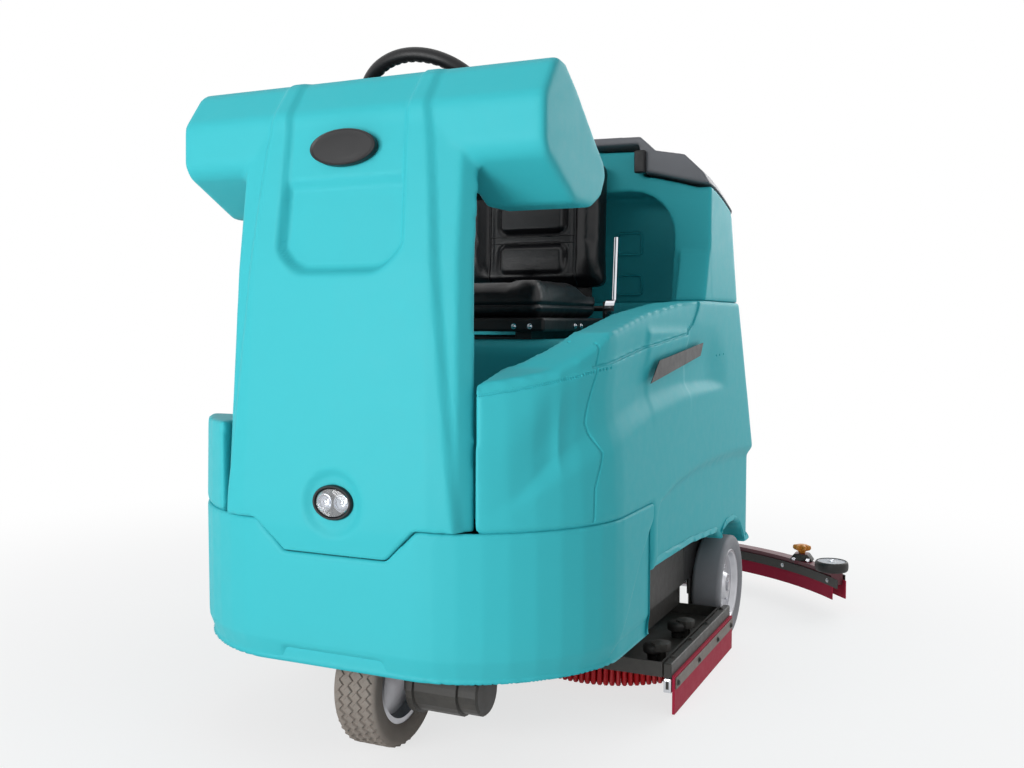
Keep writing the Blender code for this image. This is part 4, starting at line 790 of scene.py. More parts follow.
# A turned shape across the machine's length, stretched to an oval; the profile runs towards the front.
def oval(name, profile, centre, wide, tall, steps=64):
    piece = turned(name, profile, Vector((0, 0, 0)), (0, -1, 0), steps)
    piece.data.transform(Matrix.Translation(centre) @ Matrix.Diagonal((wide, 1, tall, 1)))
    return piece


bezel = oval("lampBezel", rounded([(0.80, -0.022), (1.0, -0.018), (1.0, -0.004), (0.94, 0.0), (0.86, 0.0),
                                   (0.80, -0.005), (0.78, -0.016), (0, -0.016)], 0.0015), lampPlace,
             lampSettings["wide"], lampSettings["tall"])
finished(bezel, "machine", finishes["black_plastic"], ["headlight_bezel"], 40)
cups = []
for side in (-1, 1):
    r = lampSettings["reflector"]
    centre = lampPlace + Vector((0.002 + side * lampSettings["spread"], 0, 0))
    bowl = [(r * 1.06, -0.015), (r * 1.06, -0.0035), (r * 0.98, -0.0030)]
    bowl += [(r * 0.95 * math.cos(math.radians(t)), -0.0035 - 0.011 * math.sin(math.radians(t)))
             for t in range(0, 80, 12)]
    bowl += [(r * 0.30, -0.0125), (r * 0.28, -0.006), (r * 0.12, -0.0045), (0, -0.0045)]
    cups.append(turned("cup", bowl, centre, (0, -1, 0), 40))
reflectors = together("lampReflectors", cups)
finished(reflectors, "machine", finishes["chrome"], (), 40)
lens = oval("lampLens",
            [(0.0, -0.0026), (0.775, -0.0026), (0.775, -0.0016), (0.70, -0.0004), (0.45, 0.0), (0, 0.0)],
            lampPlace, lampSettings["wide"], lampSettings["tall"])
finished(lens, "machine", finishes["lamp_glass"], ["headlight_lens"], 40)

badgeLow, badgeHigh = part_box("emblem_plate")
badgeMiddle = (badgeLow + badgeHigh) / 2
lean = math.atan2(badgeHigh.y - badgeLow.y - 0.004, badgeHigh.z - badgeLow.z)
badgeProfile = rounded([(1.0, -0.010), (1.0, 0.0020), (0.965, 0.0034), (0.93, 0.0028), (0.90, 0.0020),
                        (0.6, 0.0026),
                        (0, 0.0030)], 0.004)
badge = turned("blankBadge", badgeProfile, Vector((0, 0, 0)), (0, -1, 0), 72)
wide = (badgeHigh.x - badgeLow.x) / 2 + 0.001
tall = math.hypot(badgeHigh.z - badgeLow.z, badgeHigh.y - badgeLow.y - 0.004) / 2
badge.data.transform(Matrix.Translation(badgeMiddle + Vector((0, -0.010, 0)))
                     @ Matrix.Rotation(-lean, 4, "X")
                     @ Matrix.Diagonal((wide, 1, tall, 1)))
finished(badge, "machine", finishes["black_plastic"], ["emblem_plate"], 25)


# Steering wheel and dashboard
print("making the controls")
wheelSettings = {"radius": 0.160, "grip": 0.0155, "lumps": 26}
wheelHub = Vector(joints["steering_turn"]["pos_m"])
wheelAxis = Vector(joints["steering_turn"]["axis"]).normalized()


def steeringWheel():
    turn = Vector((0, 0, 1)).rotation_difference(wheelAxis).to_matrix().to_4x4()
    rim = turned("rim", [(wheelSettings["radius"] + wheelSettings["grip"] * math.cos(a),
                          wheelSettings["grip"] * math.sin(a))
                         for a in np.linspace(0, 2 * math.pi, 17)[:-1]],
                 Vector((0, 0, 0)), (0, 0, 1), 156)
    co = pointsOf(rim)
    around = np.arctan2(co[:, 1], co[:, 0])
    flat = np.hypot(co[:, 0], co[:, 1])
    inward = ease(wheelSettings["radius"] - flat, 0.0, 0.012)
    push = 1 + 0.010 * inward * np.cos(around * wheelSettings["lumps"] * 2)
    co[:, 0] *= push
    co[:, 1] *= push
    setPoints(rim, co)
    hub = turned("hub",
                 rounded([(0, -0.035), (0.028, -0.035), (0.042, -0.014), (0.042, -0.006), (0.034, -0.001),
                                 (0.030, 0.001), (0, 0.003)], 0.003), Vector((0, 0, 0)), (0, 0, 1), 48)
    parts = [rim, hub]
    for angle in (0, 90, 180):
        spoke = block("spoke", (0.025, -0.0145, -0.0145), (wheelSettings["radius"] - 0.006, 0.0145, -0.0045),
                      0.004)
        co = pointsOf(spoke)
        share = np.clip((co[:, 0] - 0.025) / 0.13, 0, 1)
        co[:, 1] *= 1.25 - 0.45 * share
        setPoints(spoke, co)
        spoke.data.transform(Matrix.Rotation(math.radians(angle), 4, "Z"))
        parts.append(spoke)
    wheel = together("steeringWheelGrip", parts)
    wheel.data.transform(Matrix.Translation(wheelHub) @ turn)
    return wheel


finished(steeringWheel(), "steering", finishes["black_plastic"], ["steering_wheel"], 40)


# Seat: padding swelled by a cloth simulation, then its channels and piping
print("swelling the seat")
seatSettings = {"voxel": 0.0065, "start": 0.965, "pressure": 4.0, "frames": 20, "cap": 0.010}
padCentre = {"wide": 0.098, "tall": 0.041, "pitch": 0.112, "levels": (0.125, 0.237, 0.338), "welt": 0.126}


def stuffed(name, nodeName):
    pad = mergedCopy(nodeName, name)
    low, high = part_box(nodeName)
    centre = (low + high) / 2
    pad.data.transform(Matrix.Translation(centre) @ Matrix.Scale(seatSettings["start"], 4)
                       @ Matrix.Translation(-centre))
    remesh = pad.modifiers.new("even", "REMESH")
    remesh.mode = "VOXEL"
    remesh.voxel_size = seatSettings["voxel"]
    smooth = pad.modifiers.new("smooth", "SMOOTH")
    smooth.iterations = 6
    applied(pad)
    before = pointsOf(pad)
    cloth = pad.modifiers.new("swell", "CLOTH")
    cloth.settings.quality = 5
    cloth.settings.use_pressure = True
    cloth.settings.uniform_pressure_force = seatSettings["pressure"]
    cloth.settings.effector_weights.gravity = 0
    cloth.point_cache.frame_end = seatSettings["frames"]
    for frameNumber in range(1, seatSettings["frames"] + 1):
        scene.frame_set(frameNumber)
    applied(pad)
    scene.frame_set(1)
    moved = pointsOf(pad) - before
    moved -= moved.mean(axis=0)
    length = np.linalg.norm(moved, axis=1, keepdims=True)
    cap = seatSettings["cap"]
    setPoints(pad, before + moved * np.minimum(1.0, cap / np.maximum(length, 1e-9)))
    finer = pad.modifiers.new("finer", "SUBSURF")
    finer.levels = finer.render_levels = 1
    return applied(pad)


# How far a point lies outside a rounded rectangle, below 0 within it.
def roundedBox(u, v, halfU, halfV, radius):
    du, dv = np.abs(u) - (halfU - radius), np.abs(v) - (halfV - radius)
    return np.hypot(np.maximum(du, 0), np.maximum(dv, 0)) + np.minimum(np.maximum(du, dv), 0) - radius


backLow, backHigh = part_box("seat_backrest")


def shapeBackrest(pad):
    co, facing = pointsOf(pad), normalsOf(pad)
    front = ease(-facing[:, 1], 0.25, 0.75)
    up = co[:, 2] - backLow.z
    wide = np.abs(co[:, 0])
    bolster = ease(wide, padCentre["welt"], 0.165) * (1 - ease(wide, 0.185, 0.215))
    push = 0.014 * bolster - 0.007 * (1 - ease(wide, 0.11, padCentre["welt"] + 0.004))
    push -= 0.0055 * np.exp(-((wide - padCentre["welt"]) / 0.005) ** 2)
    for level in padCentre["levels"]:
        outside = roundedBox(co[:, 0], up - level + 0.035, padCentre["wide"], padCentre["tall"], 0.022)
        push += 0.0125 * ease(-outside, -0.001, 0.014) - 0.004 * np.exp(-(outside / 0.0045) ** 2)
    push *= (1 - ease(up, 0.325, 0.35)) * ease(up, 0.030, 0.100)
    push -= 0.006 * (1 - ease(up, 0.005, 0.050))
    co[:, 1] -= push * front
    setPoints(pad, co)


def shapeCushion(pad):
    co, facing = pointsOf(pad), normalsOf(pad)
    low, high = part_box("seat_cushion")
    top = ease(facing[:, 2], 0.3, 0.8)
    wide = np.abs(co[:, 0])
    along = (co[:, 1] - low.y) / (high.y - low.y)
    push = 0.008 * ease(wide, 0.135,
                        0.175) * (1 - ease(wide, 0.19, 0.22)) - 0.004 * (1 - ease(wide, 0.12, 0.14))
    push -= 0.005 * np.exp(-((wide - 0.134) / 0.005) ** 2) * ease(along, 0.12, 0.2)
    push += 0.006 * np.exp(-((along - 0.12) / 0.08) ** 2)
    for share in (0.28, 0.50, 0.72):
        push -= 0.005 * np.exp(-((along - share) / 0.014) ** 2) * (1 - ease(wide, 0.128, 0.134))
    push = push * (1 - ease(along, 0.74, 0.90)) - 0.007 * ease(along, 0.74, 0.92)
    co[:, 2] += push * top
    co[:, 2] = np.minimum(co[:, 2], high.z + 0.014 - 0.032 * ease(along, 0.60, 0.80))
    rim = np.exp(-((co[:, 2] - low.z - 0.030) / 0.0035) ** 2) * (1 - top)
    co[:, :2] -= facing[:, :2] * (rim * 0.004)[:, None]
    setPoints(pad, co)


def weltOn(pad, path, radius=0.0026, lift=0.0012, closed=False):
    tree = BVHTree.FromObject(pad, bpy.context.evaluated_depsgraph_get())
    found = []
    for point, way in path:
        hit = tree.ray_cast(Vector(point), Vector(way))
        if hit[0] is not None:
            found.append(hit[0] - Vector(way) * lift)
    return piped("welt", found, radius, 6, closed)


backPad = stuffed("backrestPad", "seat_backrest")
shapeBackrest(backPad)
welts = []
for side in (-1, 1):
    x = side * padCentre["welt"]
    path = [((x, backLow.y - 0.2, backLow.z + z), (0, 1, 0)) for z in np.linspace(0.018, 0.335, 40)]
    welts.append(weltOn(backPad, path))
for level in padCentre["levels"][:2]:
    for edge in (level + 0.0105, level + 0.0285):
        path = [((x, backLow.y - 0.2, backLow.z + edge), (0, 1, 0)) for x in np.linspace(-0.122, 0.122, 30)]
        welts.append(weltOn(backPad, path, 0.0018))
finished(together("backrestWelts", welts), "backrest", finishes["black_vinyl"], (), 60)
finished(backPad, "backrest", finishes["black_vinyl"], ["seat_backrest"], 60)

cushionLow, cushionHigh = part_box("seat_cushion")
cushionPad = stuffed("cushionPad", "seat_cushion")
shapeCushion(cushionPad)
co = pointsOf(cushionPad)
co[:, 2] = np.maximum(co[:, 2], cushionLow.z + 0.0003)
setPoints(cushionPad, co)
welts = []
for side in (-1, 1):
    path = [((side * 0.134, y, cushionHigh.z + 0.2), (0, 0, -1))
            for y in np.linspace(cushionLow.y + 0.05, cushionHigh.y - 0.02, 40)]
    welts.append(weltOn(cushionPad, path))
finished(together("cushionWelts", welts), "seat", finishes["black_vinyl"], (), 60)
finished(cushionPad, "seat", finishes["black_vinyl"], ["seat_cushion"], 60)


# Wheels
print("making the wheels")
wheelSizes = {"rearOuter": 0.143, "rearInner": 0.104, "rearRim": 0.1045, "rearHub": 0.030,
              "boltCircle": 0.055, "bolts": 5, "driveOuter": 0.1355, "driveInner": 0.092,
              "driveRim": 0.0925, "driveHub": 0.034}


def tyre(name, nodeName, outer, inner):
    low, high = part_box(nodeName)
    centre = (low + high) / 2
    half = (high.x - low.x) / 2
    wall = outer - inner
    profile = [(inner, -half * 0.84), (inner + wall * 0.25, -half * 0.97), (inner + wall * 0.55, -half)]
    profile += [(outer - 0.012 + 0.012 * math.sin(t), -half + 0.012 - 0.012 * math.cos(t))
                for t in np.linspace(0.2, math.pi / 2, 6)]
    profile += [(radius, -run) for radius, run in profile[:9][::-1]]
    return turned(name, profile, centre, (1, 0, 0), 96), centre, half


# The outline of a dished wheel disc, from its rim to its hub, on both faces.
def wheelDisc(side, half, rim, hub):
    face = [(rim, half * 0.80), (rim - 0.004, half * 0.86), (rim - 0.010, half * 0.80),
            (rim - 0.014, half * 0.42),
            (rim * 0.62, half * 0.34), (hub + 0.010, half * 0.40), (hub + 0.004, half * 0.66),
            (hub, half * 0.72),
            (hub * 0.55, half * 0.72), (hub * 0.5, half * 0.62), (0, half * 0.62)]
    back = [(rim, -half * 0.80), (rim - 0.012, -half * 0.80), (rim - 0.016, -half * 0.3), (0, -half * 0.3)]
    return [(radius, side * run) for radius, run in back[::-1] + rounded(face, 0.002)]


for side, word in ((1, "left"), (-1, "right")):
    rubber, centre, half = tyre("greyTyre_" + word, "rear_tyre_" + word, wheelSizes["rearOuter"],
                                wheelSizes["rearInner"])
    finished(rubber, "rear_wheel_" + word, finishes["grey_tyre"], ["rear_tyre_" + word], 30)
    outline = wheelDisc(side, half, wheelSizes["rearRim"], wheelSizes["rearHub"])
    disc = turned("wheelDisc_" + word, outline, centre, (1, 0, 0), 72)
    finished(disc, "rear_wheel_" + word, finishes["steel"], ["rear_hub_" + word], 30)
    places = []
    circle = wheelSizes["boltCircle"]
    for k in range(wheelSizes["bolts"]):
        turn = 2 * math.pi * k / wheelSizes["bolts"] + 0.3
        spot = centre + Vector((side * half * 0.35, circle * math.cos(turn), circle * math.sin(turn)))
        places.append((spot, (side, 0, 0)))
    scattered("wheelBolts_" + word, boltTree, places, "rear_wheel_" + word, "chrome", finishes["chrome"],
              Radius=0.0055, Height=0.006)

rubber, centre, half = tyre("treadedTyre", "drive_tyre", wheelSizes["driveOuter"],
                            wheelSizes["driveInner"])
finished(rubber, "drive_wheel", finishes["drive_tread"], ["drive_tyre"], 30)
outline = wheelDisc(-1, half, wheelSizes["driveRim"], wheelSizes["driveHub"])
disc = turned("driveDisc", outline, centre, (1, 0, 0), 72)
finished(disc, "drive_wheel", finishes["steel"], ["drive_hub"], 30)
treadSettings = {"around": 42, "across": 4, "wide": 0.0112, "height": 0.0042}
places = []
for row in range(treadSettings["across"]):
    x = centre.x + half * 0.86 * (2 * (row + 0.5) / treadSettings["across"] - 1)
    for k in range(treadSettings["around"]):
        turn = 2 * math.pi * (k + 0.5 * (row % 2)) / treadSettings["around"]
        out = Vector((0, math.cos(turn), math.sin(turn)))
        places.append((Vector((x, centre.y, centre.z)) + out * 0.1352, out))
scattered("treadLugs", lugTree, places, "drive_wheel", "drive_tread", finishes["drive_tread"],
          Radius=treadSettings["wide"], Height=treadSettings["height"])


# Brushes
print("making the brushes")
brushSettings = {"low": 0.0045, "plate": 0.052,
                 "rings": ((0.2325, 96), (0.219, 90), (0.203, 80), (0.182, 72), (0.156, 60), (0.128, 50))}
for side, word in ((1, "left"), (-1, "right")):
    low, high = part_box("disc_brush_" + word)
    centre = (low + high) / 2
    top = high.z
    profile = rounded([(0.085, 0.054), (0.085, 0.050), (0.232, 0.050), (0.2385, 0.054), (0.2385, 0.066),
                       (0.225, 0.072),
                       (0.120, 0.074), (0.075, top - 0.004), (0.070, top), (0.030, top), (0.030, top - 0.02),
                       (0.030, 0.060)], 0.002)
    plate = turned("brushPlate_" + word, profile, Vector((centre.x, centre.y, 0)), (0, 0, 1), 96)
    finished(plate, "brush_" + word, finishes["red_bristle"], ["disc_brush_" + word], 30)
    places = []
    for radius, count in brushSettings["rings"]:
        for k in range(count):
            turn = 2 * math.pi * k / count
            way = Vector((0.10 * math.cos(turn), 0.10 * math.sin(turn), -1))
            spot = Vector((centre.x + (radius - 0.004) * math.cos(turn),
                           centre.y + (radius - 0.004) * math.sin(turn),
                           brushSettings["plate"]))
            places.append((spot, way))
    scattered("bristles_" + word, tuftTree, places, "brush_" + word, "red_bristle", finishes["red_bristle"],
              Radius=0.0054, Height=brushSettings["plate"] - brushSettings["low"] - 0.003)
    low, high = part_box("brush_motor_" + word)
    places = []
    for k in range(4):
        turn = math.pi / 4 + math.pi / 2 * k
        places.append((Vector(((low.x + high.x) / 2 + 0.046 * math.cos(turn),
                               (low.y + high.y) / 2 + 0.046 * math.sin(turn), high.z)), (0, 0, 1)))
    scattered("motorBolts_" + word, boltTree, places, "deck", "chrome", finishes["chrome"], Radius=0.004,
              Height=0.005)


# Side guards of the brush deck
guardSettings = {"strip": (0.060, 0.086), "screws": (0.03, 0.36, 0.69, 0.95)}
for side, word in ((1, "left"), (-1, "right")):
    low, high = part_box("side_blade_" + word)
    face = high.x if side > 0 else low.x
    strip = block("bladeStrip_" + word,
                  (min(face, face + side * 0.003), low.y + 0.004, guardSettings["strip"][0]),
                  (max(face, face + side * 0.003), high.y - 0.004, guardSettings["strip"][1]), 0.0008, 1)
    finished(strip, "deck", dullStrip)
    places = [(Vector((face + side * 0.003, low.y + (high.y - low.y) * share,
                       sum(guardSettings["strip"]) / 2)),
               (side, 0, 0)) for share in guardSettings["screws"]]
    scattered("stripScrews_" + word, screwTree, places, "deck", "black_steel", finishes["black_steel"],
              Radius=0.0052, Height=0.0045)
    guardLow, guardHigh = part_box("side_guard_" + word)
    inner = guardLow.x if side > 0 else guardHigh.x
    x0, x1 = sorted((face - side * 0.0255, face - side * 0.0075))
    tube = block("guardTube_" + word, (x0, low.y - 0.004, 0.052), (x1, low.y + 0.040, 0.0845), 0.0015, 2)
    finished(tube, "deck", finishes["chrome"])
    slot = block("tubeSlot_" + word, (x0 + 0.0055, low.y - 0.0046, 0.060),
                 (x1 - 0.0055, low.y - 0.0036, 0.078), 0.0)
    finished(slot, "deck", finishes["black_steel"])
    places = [(Vector((inner + (side * 0.010), y, guardHigh.z)), (0, 0, 1))
              for y in np.linspace(guardLow.y + 0.05, guardHigh.y - 0.05, 4)]
    scattered("guardBolts_" + word, boltTree, places, "deck", "black_steel", finishes["black_steel"],
              Radius=0.0045, Height=0.005)

deckLow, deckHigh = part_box("brush_deck")
for side, word in ((1, "left"), (-1, "right")):
    knobs = []
    for y in (deckLow.y + 0.10, deckLow.y + 0.30):
        profile = rounded([(0, 0), (0.016, 0), (0.016, 0.016), (0.026, 0.020), (0.026, 0.036),
                           (0.020, 0.042), (0, 0.044)],
                          0.003)
        foot = Vector((side * 0.432, y, 0.0905))
        knobs.append(turned("knob", profile, foot, (0, 0, 1), 28))
    finished(together("deckKnobs_" + word, knobs), "deck", finishes["black_plastic"])

    wall = block("deckWall_" + word, (side * 0.3735 - 0.0025, deckLow.y + 0.006, 0.1195),
                 (side * 0.3735 + 0.0025, deckHigh.y - 0.006, 0.1865), 0.001, 1)
    finished(wall, "deck", finishes["black_steel"])
    panelLow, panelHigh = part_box("side_panel_" + word)
    low, high = sorted((side * 0.3956, side * 0.3990))
    splash = block("archGuard_" + word, (low, panelHigh.y + 0.055, 0.095),
                   (high, panelHigh.y + 0.16, panelLow.z + 0.002),
                   0.001, 1)
    finished(splash, "machine", finishes["black_plastic"])
    liner = block("archLiner_" + word, (panelLow.x + 0.0004, panelHigh.y, panelLow.z + 0.002),
                  (panelHigh.x - 0.0004, panelHigh.y + 0.43, panelHigh.z - 0.010), 0.001, 1)
    finished(liner, "machine", finishes["black_plastic"])


# Squeegee
print("making the squeegee")
arcCentre = at(0, 0.8535, 0)
squeegeeSettings = {"blade": 0.907, "tip": 0.725, "strip": (0.090, 0.119), "screws": 8}


def arcStrip(name, inner, outer, low, high, tip, steps=72):
    bm = bmesh.new()
    reach = math.asin(tip / inner)
    rings = []
    for angle in np.linspace(-reach, reach, steps):
        ring = []
        for radius, z in ((inner, low), (outer, low), (outer, high), (inner, high)):
            ring.append(bm.verts.new((arcCentre.x + radius * math.sin(angle),
                                      arcCentre.y + radius * math.cos(angle), z)))
        rings.append(ring)
    for a, b in zip(rings, rings[1:]):
        for k in range(4):
            bm.faces.new((a[k], a[(k + 1) % 4], b[(k + 1) % 4], b[k]))
    bm.faces.new(rings[0])
    bm.faces.new(rings[-1][::-1])
    return fromBmesh(name, bm)


def arcPlaces(radius, count, tip, z, outward):
    reach = math.asin(tip / radius)
    found = []
    for angle in np.linspace(-reach, reach, count):
        way = Vector((math.sin(angle), math.cos(angle), 0)) * outward
        found.append((Vector((arcCentre.x + radius * math.sin(angle), arcCentre.y + radius * math.cos(angle),
                              z)), way))
    return found


bladeR = squeegeeSettings["blade"]
low, high = squeegeeSettings["strip"]
strip = arcStrip("bladeStripFront", bladeR - 0.0062, bladeR - 0.0034, low - 0.004, high - 0.006,
                 squeegeeSettings["tip"])
finished(strip, "squeegee", finishes["black_steel"])
places = arcPlaces(bladeR - 0.0062, squeegeeSettings["screws"], 0.69, (low + high) / 2 - 0.005, -1)
scattered("stripScrewsFront", screwTree, places, "squeegee", "steel", finishes["steel"], Radius=0.0045,
          Height=0.0035)
rearR = bladeR + 0.0515
strip = arcStrip("bladeStripRear", rearR, rearR + 0.0028, low - 0.004, high - 0.006,
                 squeegeeSettings["tip"] + 0.012)
finished(strip, "squeegee", finishes["black_steel"])

for side, word in ((1, "left"), (-1, "right")):
    low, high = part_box("guide_roller_" + word)
    centre = (low + high) / 2
    half = (high.z - low.z) / 2
    profile = [(0.042, -half), (0.046, -half), (0.0492, -half * 0.7), (0.050, -half * 0.25),
               (0.050, half * 0.25),
               (0.0492, half * 0.7), (0.046, half), (0.042, half)]
    finished(turned("rollerTyre_" + word, rounded(profile, 0.002, 2), centre, (0, 0, 1), 56),
             "roller_" + word,
             finishes["black_plastic"], ["guide_roller_" + word], 40)
    profile = rounded([(0, -half * 0.9), (0.0425, -half * 0.9), (0.0425, half * 0.90), (0.039, half * 0.84),
                       (0.014, half * 0.88), (0.011, half * 0.98), (0, half * 0.98)], 0.0015)
    finished(turned("rollerDisc_" + word, profile, centre, (0, 0, 1), 48), "roller_" + word,
             paleDisc, (), 40)
    scattered("rollerBolt_" + word, boltTree, [(centre + Vector((0, 0, half * 0.98)), (0, 0, 1))],
              "roller_" + word,
              "chrome", finishes["chrome"], Radius=0.0058, Height=0.005)
    low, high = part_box("wing_knob_" + word)
    centre = (low + high) / 2
    bracket = block("knobBracket_" + word, (centre.x - 0.030, centre.y - 0.022, 0.1262),
                    (centre.x + 0.030, centre.y + 0.022, low.z - 0.0006), 0.003, 2)
    co = pointsOf(bracket)
    share = (co[:, 2] - 0.1262) / (low.z - 0.1262)
    co[:, 0] = centre.x + (co[:, 0] - centre.x) * (1.25 - 0.55 * share)
    setPoints(bracket, co)
    finished(bracket, "squeegee", finishes["black_steel"])
    places = [(Vector((centre.x + dx, centre.y - 0.0215, 0.1325)), (0, -1, 0.1)) for dx in (-0.022, 0.022)]
    scattered("bracketBolts_" + word, boltTree, places, "squeegee", "chrome", finishes["chrome"],
              Radius=0.0042,
              Height=0.004)
    knob = turned("lobedKnob_" + word,
                  rounded([(0, low.z), (0.010, low.z), (0.012, low.z + 0.006), (0.019, low.z + 0.011),
                                                (0.0215, low.z + 0.016), (0.0205, high.z - 0.004),
                           (0.013, high.z - 0.001),
                                                (0, high.z)], 0.002), Vector((centre.x, centre.y, 0)),
                  (0, 0, 1), 90)
    co = pointsOf(knob)
    flat = co[:, :2] - np.array((centre.x, centre.y))
    radius = np.hypot(flat[:, 0], flat[:, 1])
    around = np.arctan2(flat[:, 1], flat[:, 0])
    lobes = 1 + ease(radius, 0.012, 0.018) * (0.26 * np.cos(around * 6) + 0.10 * np.cos(around * 2))
    co[:, :2] = np.array((centre.x, centre.y)) + flat * lobes[:, None]
    setPoints(knob, co)
    finished(knob, "knob_" + word, finishes["orange_plastic"], ["wing_knob_" + word], 40)


# Small raised frames on the wall behind the seat
notchSettings = {"levels": ((1.080, 1.140), (0.968, 1.022)), "reach": (0.165, 0.236), "corner": 0.010,
                 "round": 0.0042}
notches = []
for side in (-1, 1):
    for low, high in notchSettings["levels"]:
        x0, x1 = notchSettings["reach"]
        corner = notchSettings["corner"]
        path = []
        for cx, cz, start in ((x1 - corner, high - corner, 0), (x0 + corner, high - corner, 90),
                              (x0 + corner, low + corner, 180), (x1 - corner, low + corner, 270)):
            for step in range(6):
                turn = math.radians(start + 18 * step)
                path.append((side * (cx + corner * math.cos(turn)), cz + corner * math.sin(turn)))
        path = [((x, backHigh.y + 0.02, z), (0, 1, 0)) for x, z in path]
        notches.append(weltOn(tankShell, path, notchSettings["round"], 0.0022, True))
finished(together("recessFrames", notches), "machine", finishes["body_teal"], (), 60)


# Instruments on the dashboard
dashTree = treeOf(mergedCopy("dashboard", "dashboardProbe"))
bpy.data.objects.remove(bpy.data.objects["dashboardProbe"])
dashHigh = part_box("dashboard")[1]
dashSettings = {"screen": (0.066, 0.036), "screenAt": (0.0, -0.140),
                "buttons": (-0.115, -0.088, 0.088, 0.115)}


def onDash(x, back):
    start = Vector((x, dashHigh.y + back, dashHigh.z + 0.2))
    spot, facing = dashTree.ray_cast(start, Vector((0, 0, -1)))[:2]
    return spot, facing


def laid(piece, spot, facing):
    across = Vector((1, 0, 0))
    up = facing.cross(across).normalized()
    turn = Matrix((across, up, facing)).transposed().to_4x4()
    piece.data.transform(Matrix.Translation(spot) @ turn)
    return piece


spot, facing = onDash(*dashSettings["screenAt"])
wide, tall = dashSettings["screen"]
frameParts = [block("screenFrame", (-wide, -tall, -0.002), (wide, tall, 0.007), 0.003, 3)]
frameParts += [turned("screenStud",
                      rounded([(0, 0.0065), (0.004, 0.0065), (0.0035, 0.0085), (0, 0.009)], 0.0005),
                      Vector((x, y, 0)), (0, 0, 1), 16)
               for x in (-wide + 0.007, wide - 0.007) for y in (-tall + 0.007, tall - 0.007)]
finished(laid(together("screenFrame", frameParts), spot, facing), "machine",
         finishes["black_plastic"])
glass = laid(block("screenGlass", (-wide + 0.014, -tall + 0.010, 0.005),
                   (wide - 0.014, tall - 0.010, 0.0078), 0.0008, 1),
             spot, facing)
finished(glass, "machine", finishes["battery_case"])
buttons = []
for x in dashSettings["buttons"]:
    spot, facing = onDash(x, dashSettings["screenAt"][1])
    button = turned("button", rounded([(0, -0.001), (0.0125, -0.001), (0.0125, 0.0025), (0.0095, 0.0035),
                                       (0.0085, 0.0065),
                                       (0, 0.0072)], 0.0007), Vector((0, 0, 0)), (0, 0, 1), 32)
    buttons.append(laid(button, spot, facing))
finished(together("dashButtons", buttons), "machine", finishes["lid_grey"])


# Screws on the black side panels and on the seat's base
print("adding screws")
places = []
for side, word in ((1, "left"), (-1, "right")):
    low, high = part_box("side_panel_" + word)
    face = high.x if side > 0 else low.x
    places += [(Vector((face, y, z)), (side, 0, 0))
               for y, z in ((-0.40, 0.285), (-0.10, 0.352), (0.02, 0.30), (-0.40, 0.21))]
scattered("panelScrews", screwTree, places, "machine", "chrome", finishes["chrome"], Radius=0.0058,
          Height=0.005)
panLow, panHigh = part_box("seat_pan")
places = [(Vector((x, panLow.y + 0.0002, panLow.z + 0.012)), (0, -1, 0)) for x in (-0.19, -0.15, 0.15, 0.19)]
places += [(Vector((side * panHigh.x, y, panLow.z + 0.012)), (side, 0, 0)) for side in (-1, 1)
           for y in (-0.30, -0.26)]
scattered("panScrews", screwTree, places, "seat", "chrome", finishes["chrome"], Radius=0.0045, Height=0.004)


# Floor and light
print("lighting")
floorMesh = bpy.data.meshes.new("floor")
floorMesh.from_pydata([(-30, -30, 0), (30, -30, 0), (30, 30, 0), (-30, 30, 0)], [], [(0, 1, 2, 3)])
floor = linked("floor", floorMesh)
floorFinish = bpy.data.materials.new("paleFloor")
floorFinish.use_nodes = True
tree = floorFinish.node_tree
shader = tree.nodes["Principled BSDF"]
shader.inputs["Base Color"].default_value = (0.90, 0.90, 0.90, 1)
shader.inputs["Roughness"].default_value = 0.65
shader.inputs["Specular IOR Level"].default_value = 0.2
glow = tree.nodes.new("ShaderNodeEmission")
glow.inputs["Strength"].default_value = 1.0
place = tree.nodes.new("ShaderNodeTexCoord")
away = tree.nodes.new("ShaderNodeVectorMath")
away.operation = "LENGTH"
tree.links.new(place.outputs["Object"], away.inputs[0])
far = tree.nodes.new("ShaderNodeMapRange")
far.inputs["From Min"].default_value = 0.9
far.inputs["From Max"].default_value = 3.2
far.inputs["To Min"].default_value = 0.72
far.interpolation_type = "SMOOTHSTEP"
tree.links.new(away.outputs["Value"], far.inputs["Value"])
path = tree.nodes.new("ShaderNodeLightPath")
seenBy = math2(tree, "ADD", path.outputs["Is Camera Ray"], path.outputs["Is Glossy Ray"], True)
seenBy = math2(tree, "ADD", seenBy, path.outputs["Is Transmission Ray"], True)
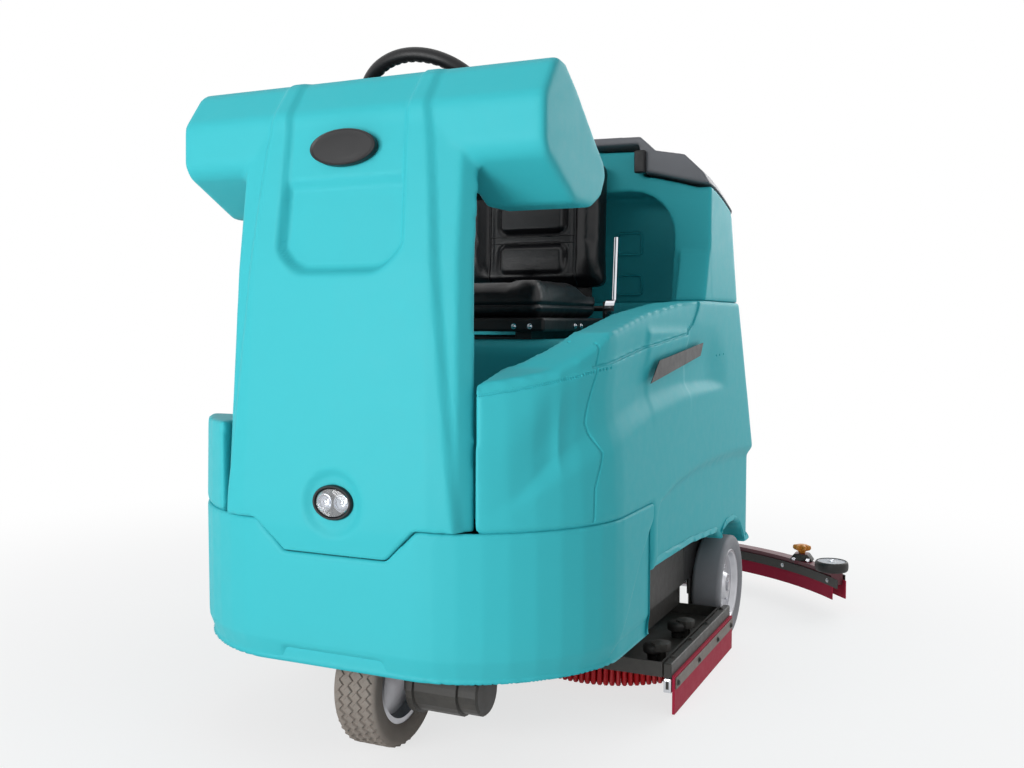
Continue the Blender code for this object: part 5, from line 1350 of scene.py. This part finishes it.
blend = tree.nodes.new("ShaderNodeMixShader")
tree.links.new(math2(tree, "MULTIPLY", seenBy, far.outputs["Result"]), blend.inputs["Fac"])
tree.links.new(shader.outputs[0], blend.inputs[1])
tree.links.new(glow.outputs[0], blend.inputs[2])
tree.links.new(blend.outputs[0], tree.nodes["Material Output"].inputs["Surface"])
floor.data.materials.append(floorFinish)

world = bpy.data.worlds.new("studio")
scene.world = world
world.use_nodes = True
tree = world.node_tree
tree.nodes.clear()
lightPath = tree.nodes.new("ShaderNodeLightPath")
seen = math2(tree, "ADD", lightPath.outputs["Is Camera Ray"], lightPath.outputs["Is Transmission Ray"], True)
seen = math2(tree, "ADD", seen, lightPath.outputs["Is Glossy Ray"], True)
soft = tree.nodes.new("ShaderNodeBackground")
soft.inputs["Color"].default_value = (0.93, 0.96, 1.0, 1)
soft.inputs["Strength"].default_value = 0.37
white = tree.nodes.new("ShaderNodeBackground")
white.inputs["Color"].default_value = (1, 1, 1, 1)
white.inputs["Strength"].default_value = 1.0
mixed = tree.nodes.new("ShaderNodeMixShader")
tree.links.new(seen, mixed.inputs["Fac"])
tree.links.new(soft.outputs[0], mixed.inputs[1])
tree.links.new(white.outputs[0], mixed.inputs[2])
tree.links.new(mixed.outputs[0], tree.nodes.new("ShaderNodeOutputWorld").inputs["Surface"])

lights = {"key": ((-1.1, -4.4, 1.35), (0, 0.0, 0.75), 2.8, 175),
          "fill": ((3.6, -0.6, 2.0), (0, 0.6, 0.7), 2.6, 9),
          "top": ((0.2, 0.6, 4.2), (0, 0.3, 0.6), 3.4, 12),
          "back": ((1.6, 4.2, 2.4), (0, 0.6, 0.7), 2.6, 60)}
for name, (place, target, size, power) in lights.items():
    lamp = bpy.data.lights.new(name, "AREA")
    lamp.size = size
    lamp.energy = power
    holder = bpy.data.objects.new(name, lamp)
    holder.location = at(*place)
    holder.rotation_euler = (at(*target) - holder.location).to_track_quat("-Z", "Y").to_euler()
    scene.collection.objects.link(holder)
scene.view_settings.view_transform = "Standard"
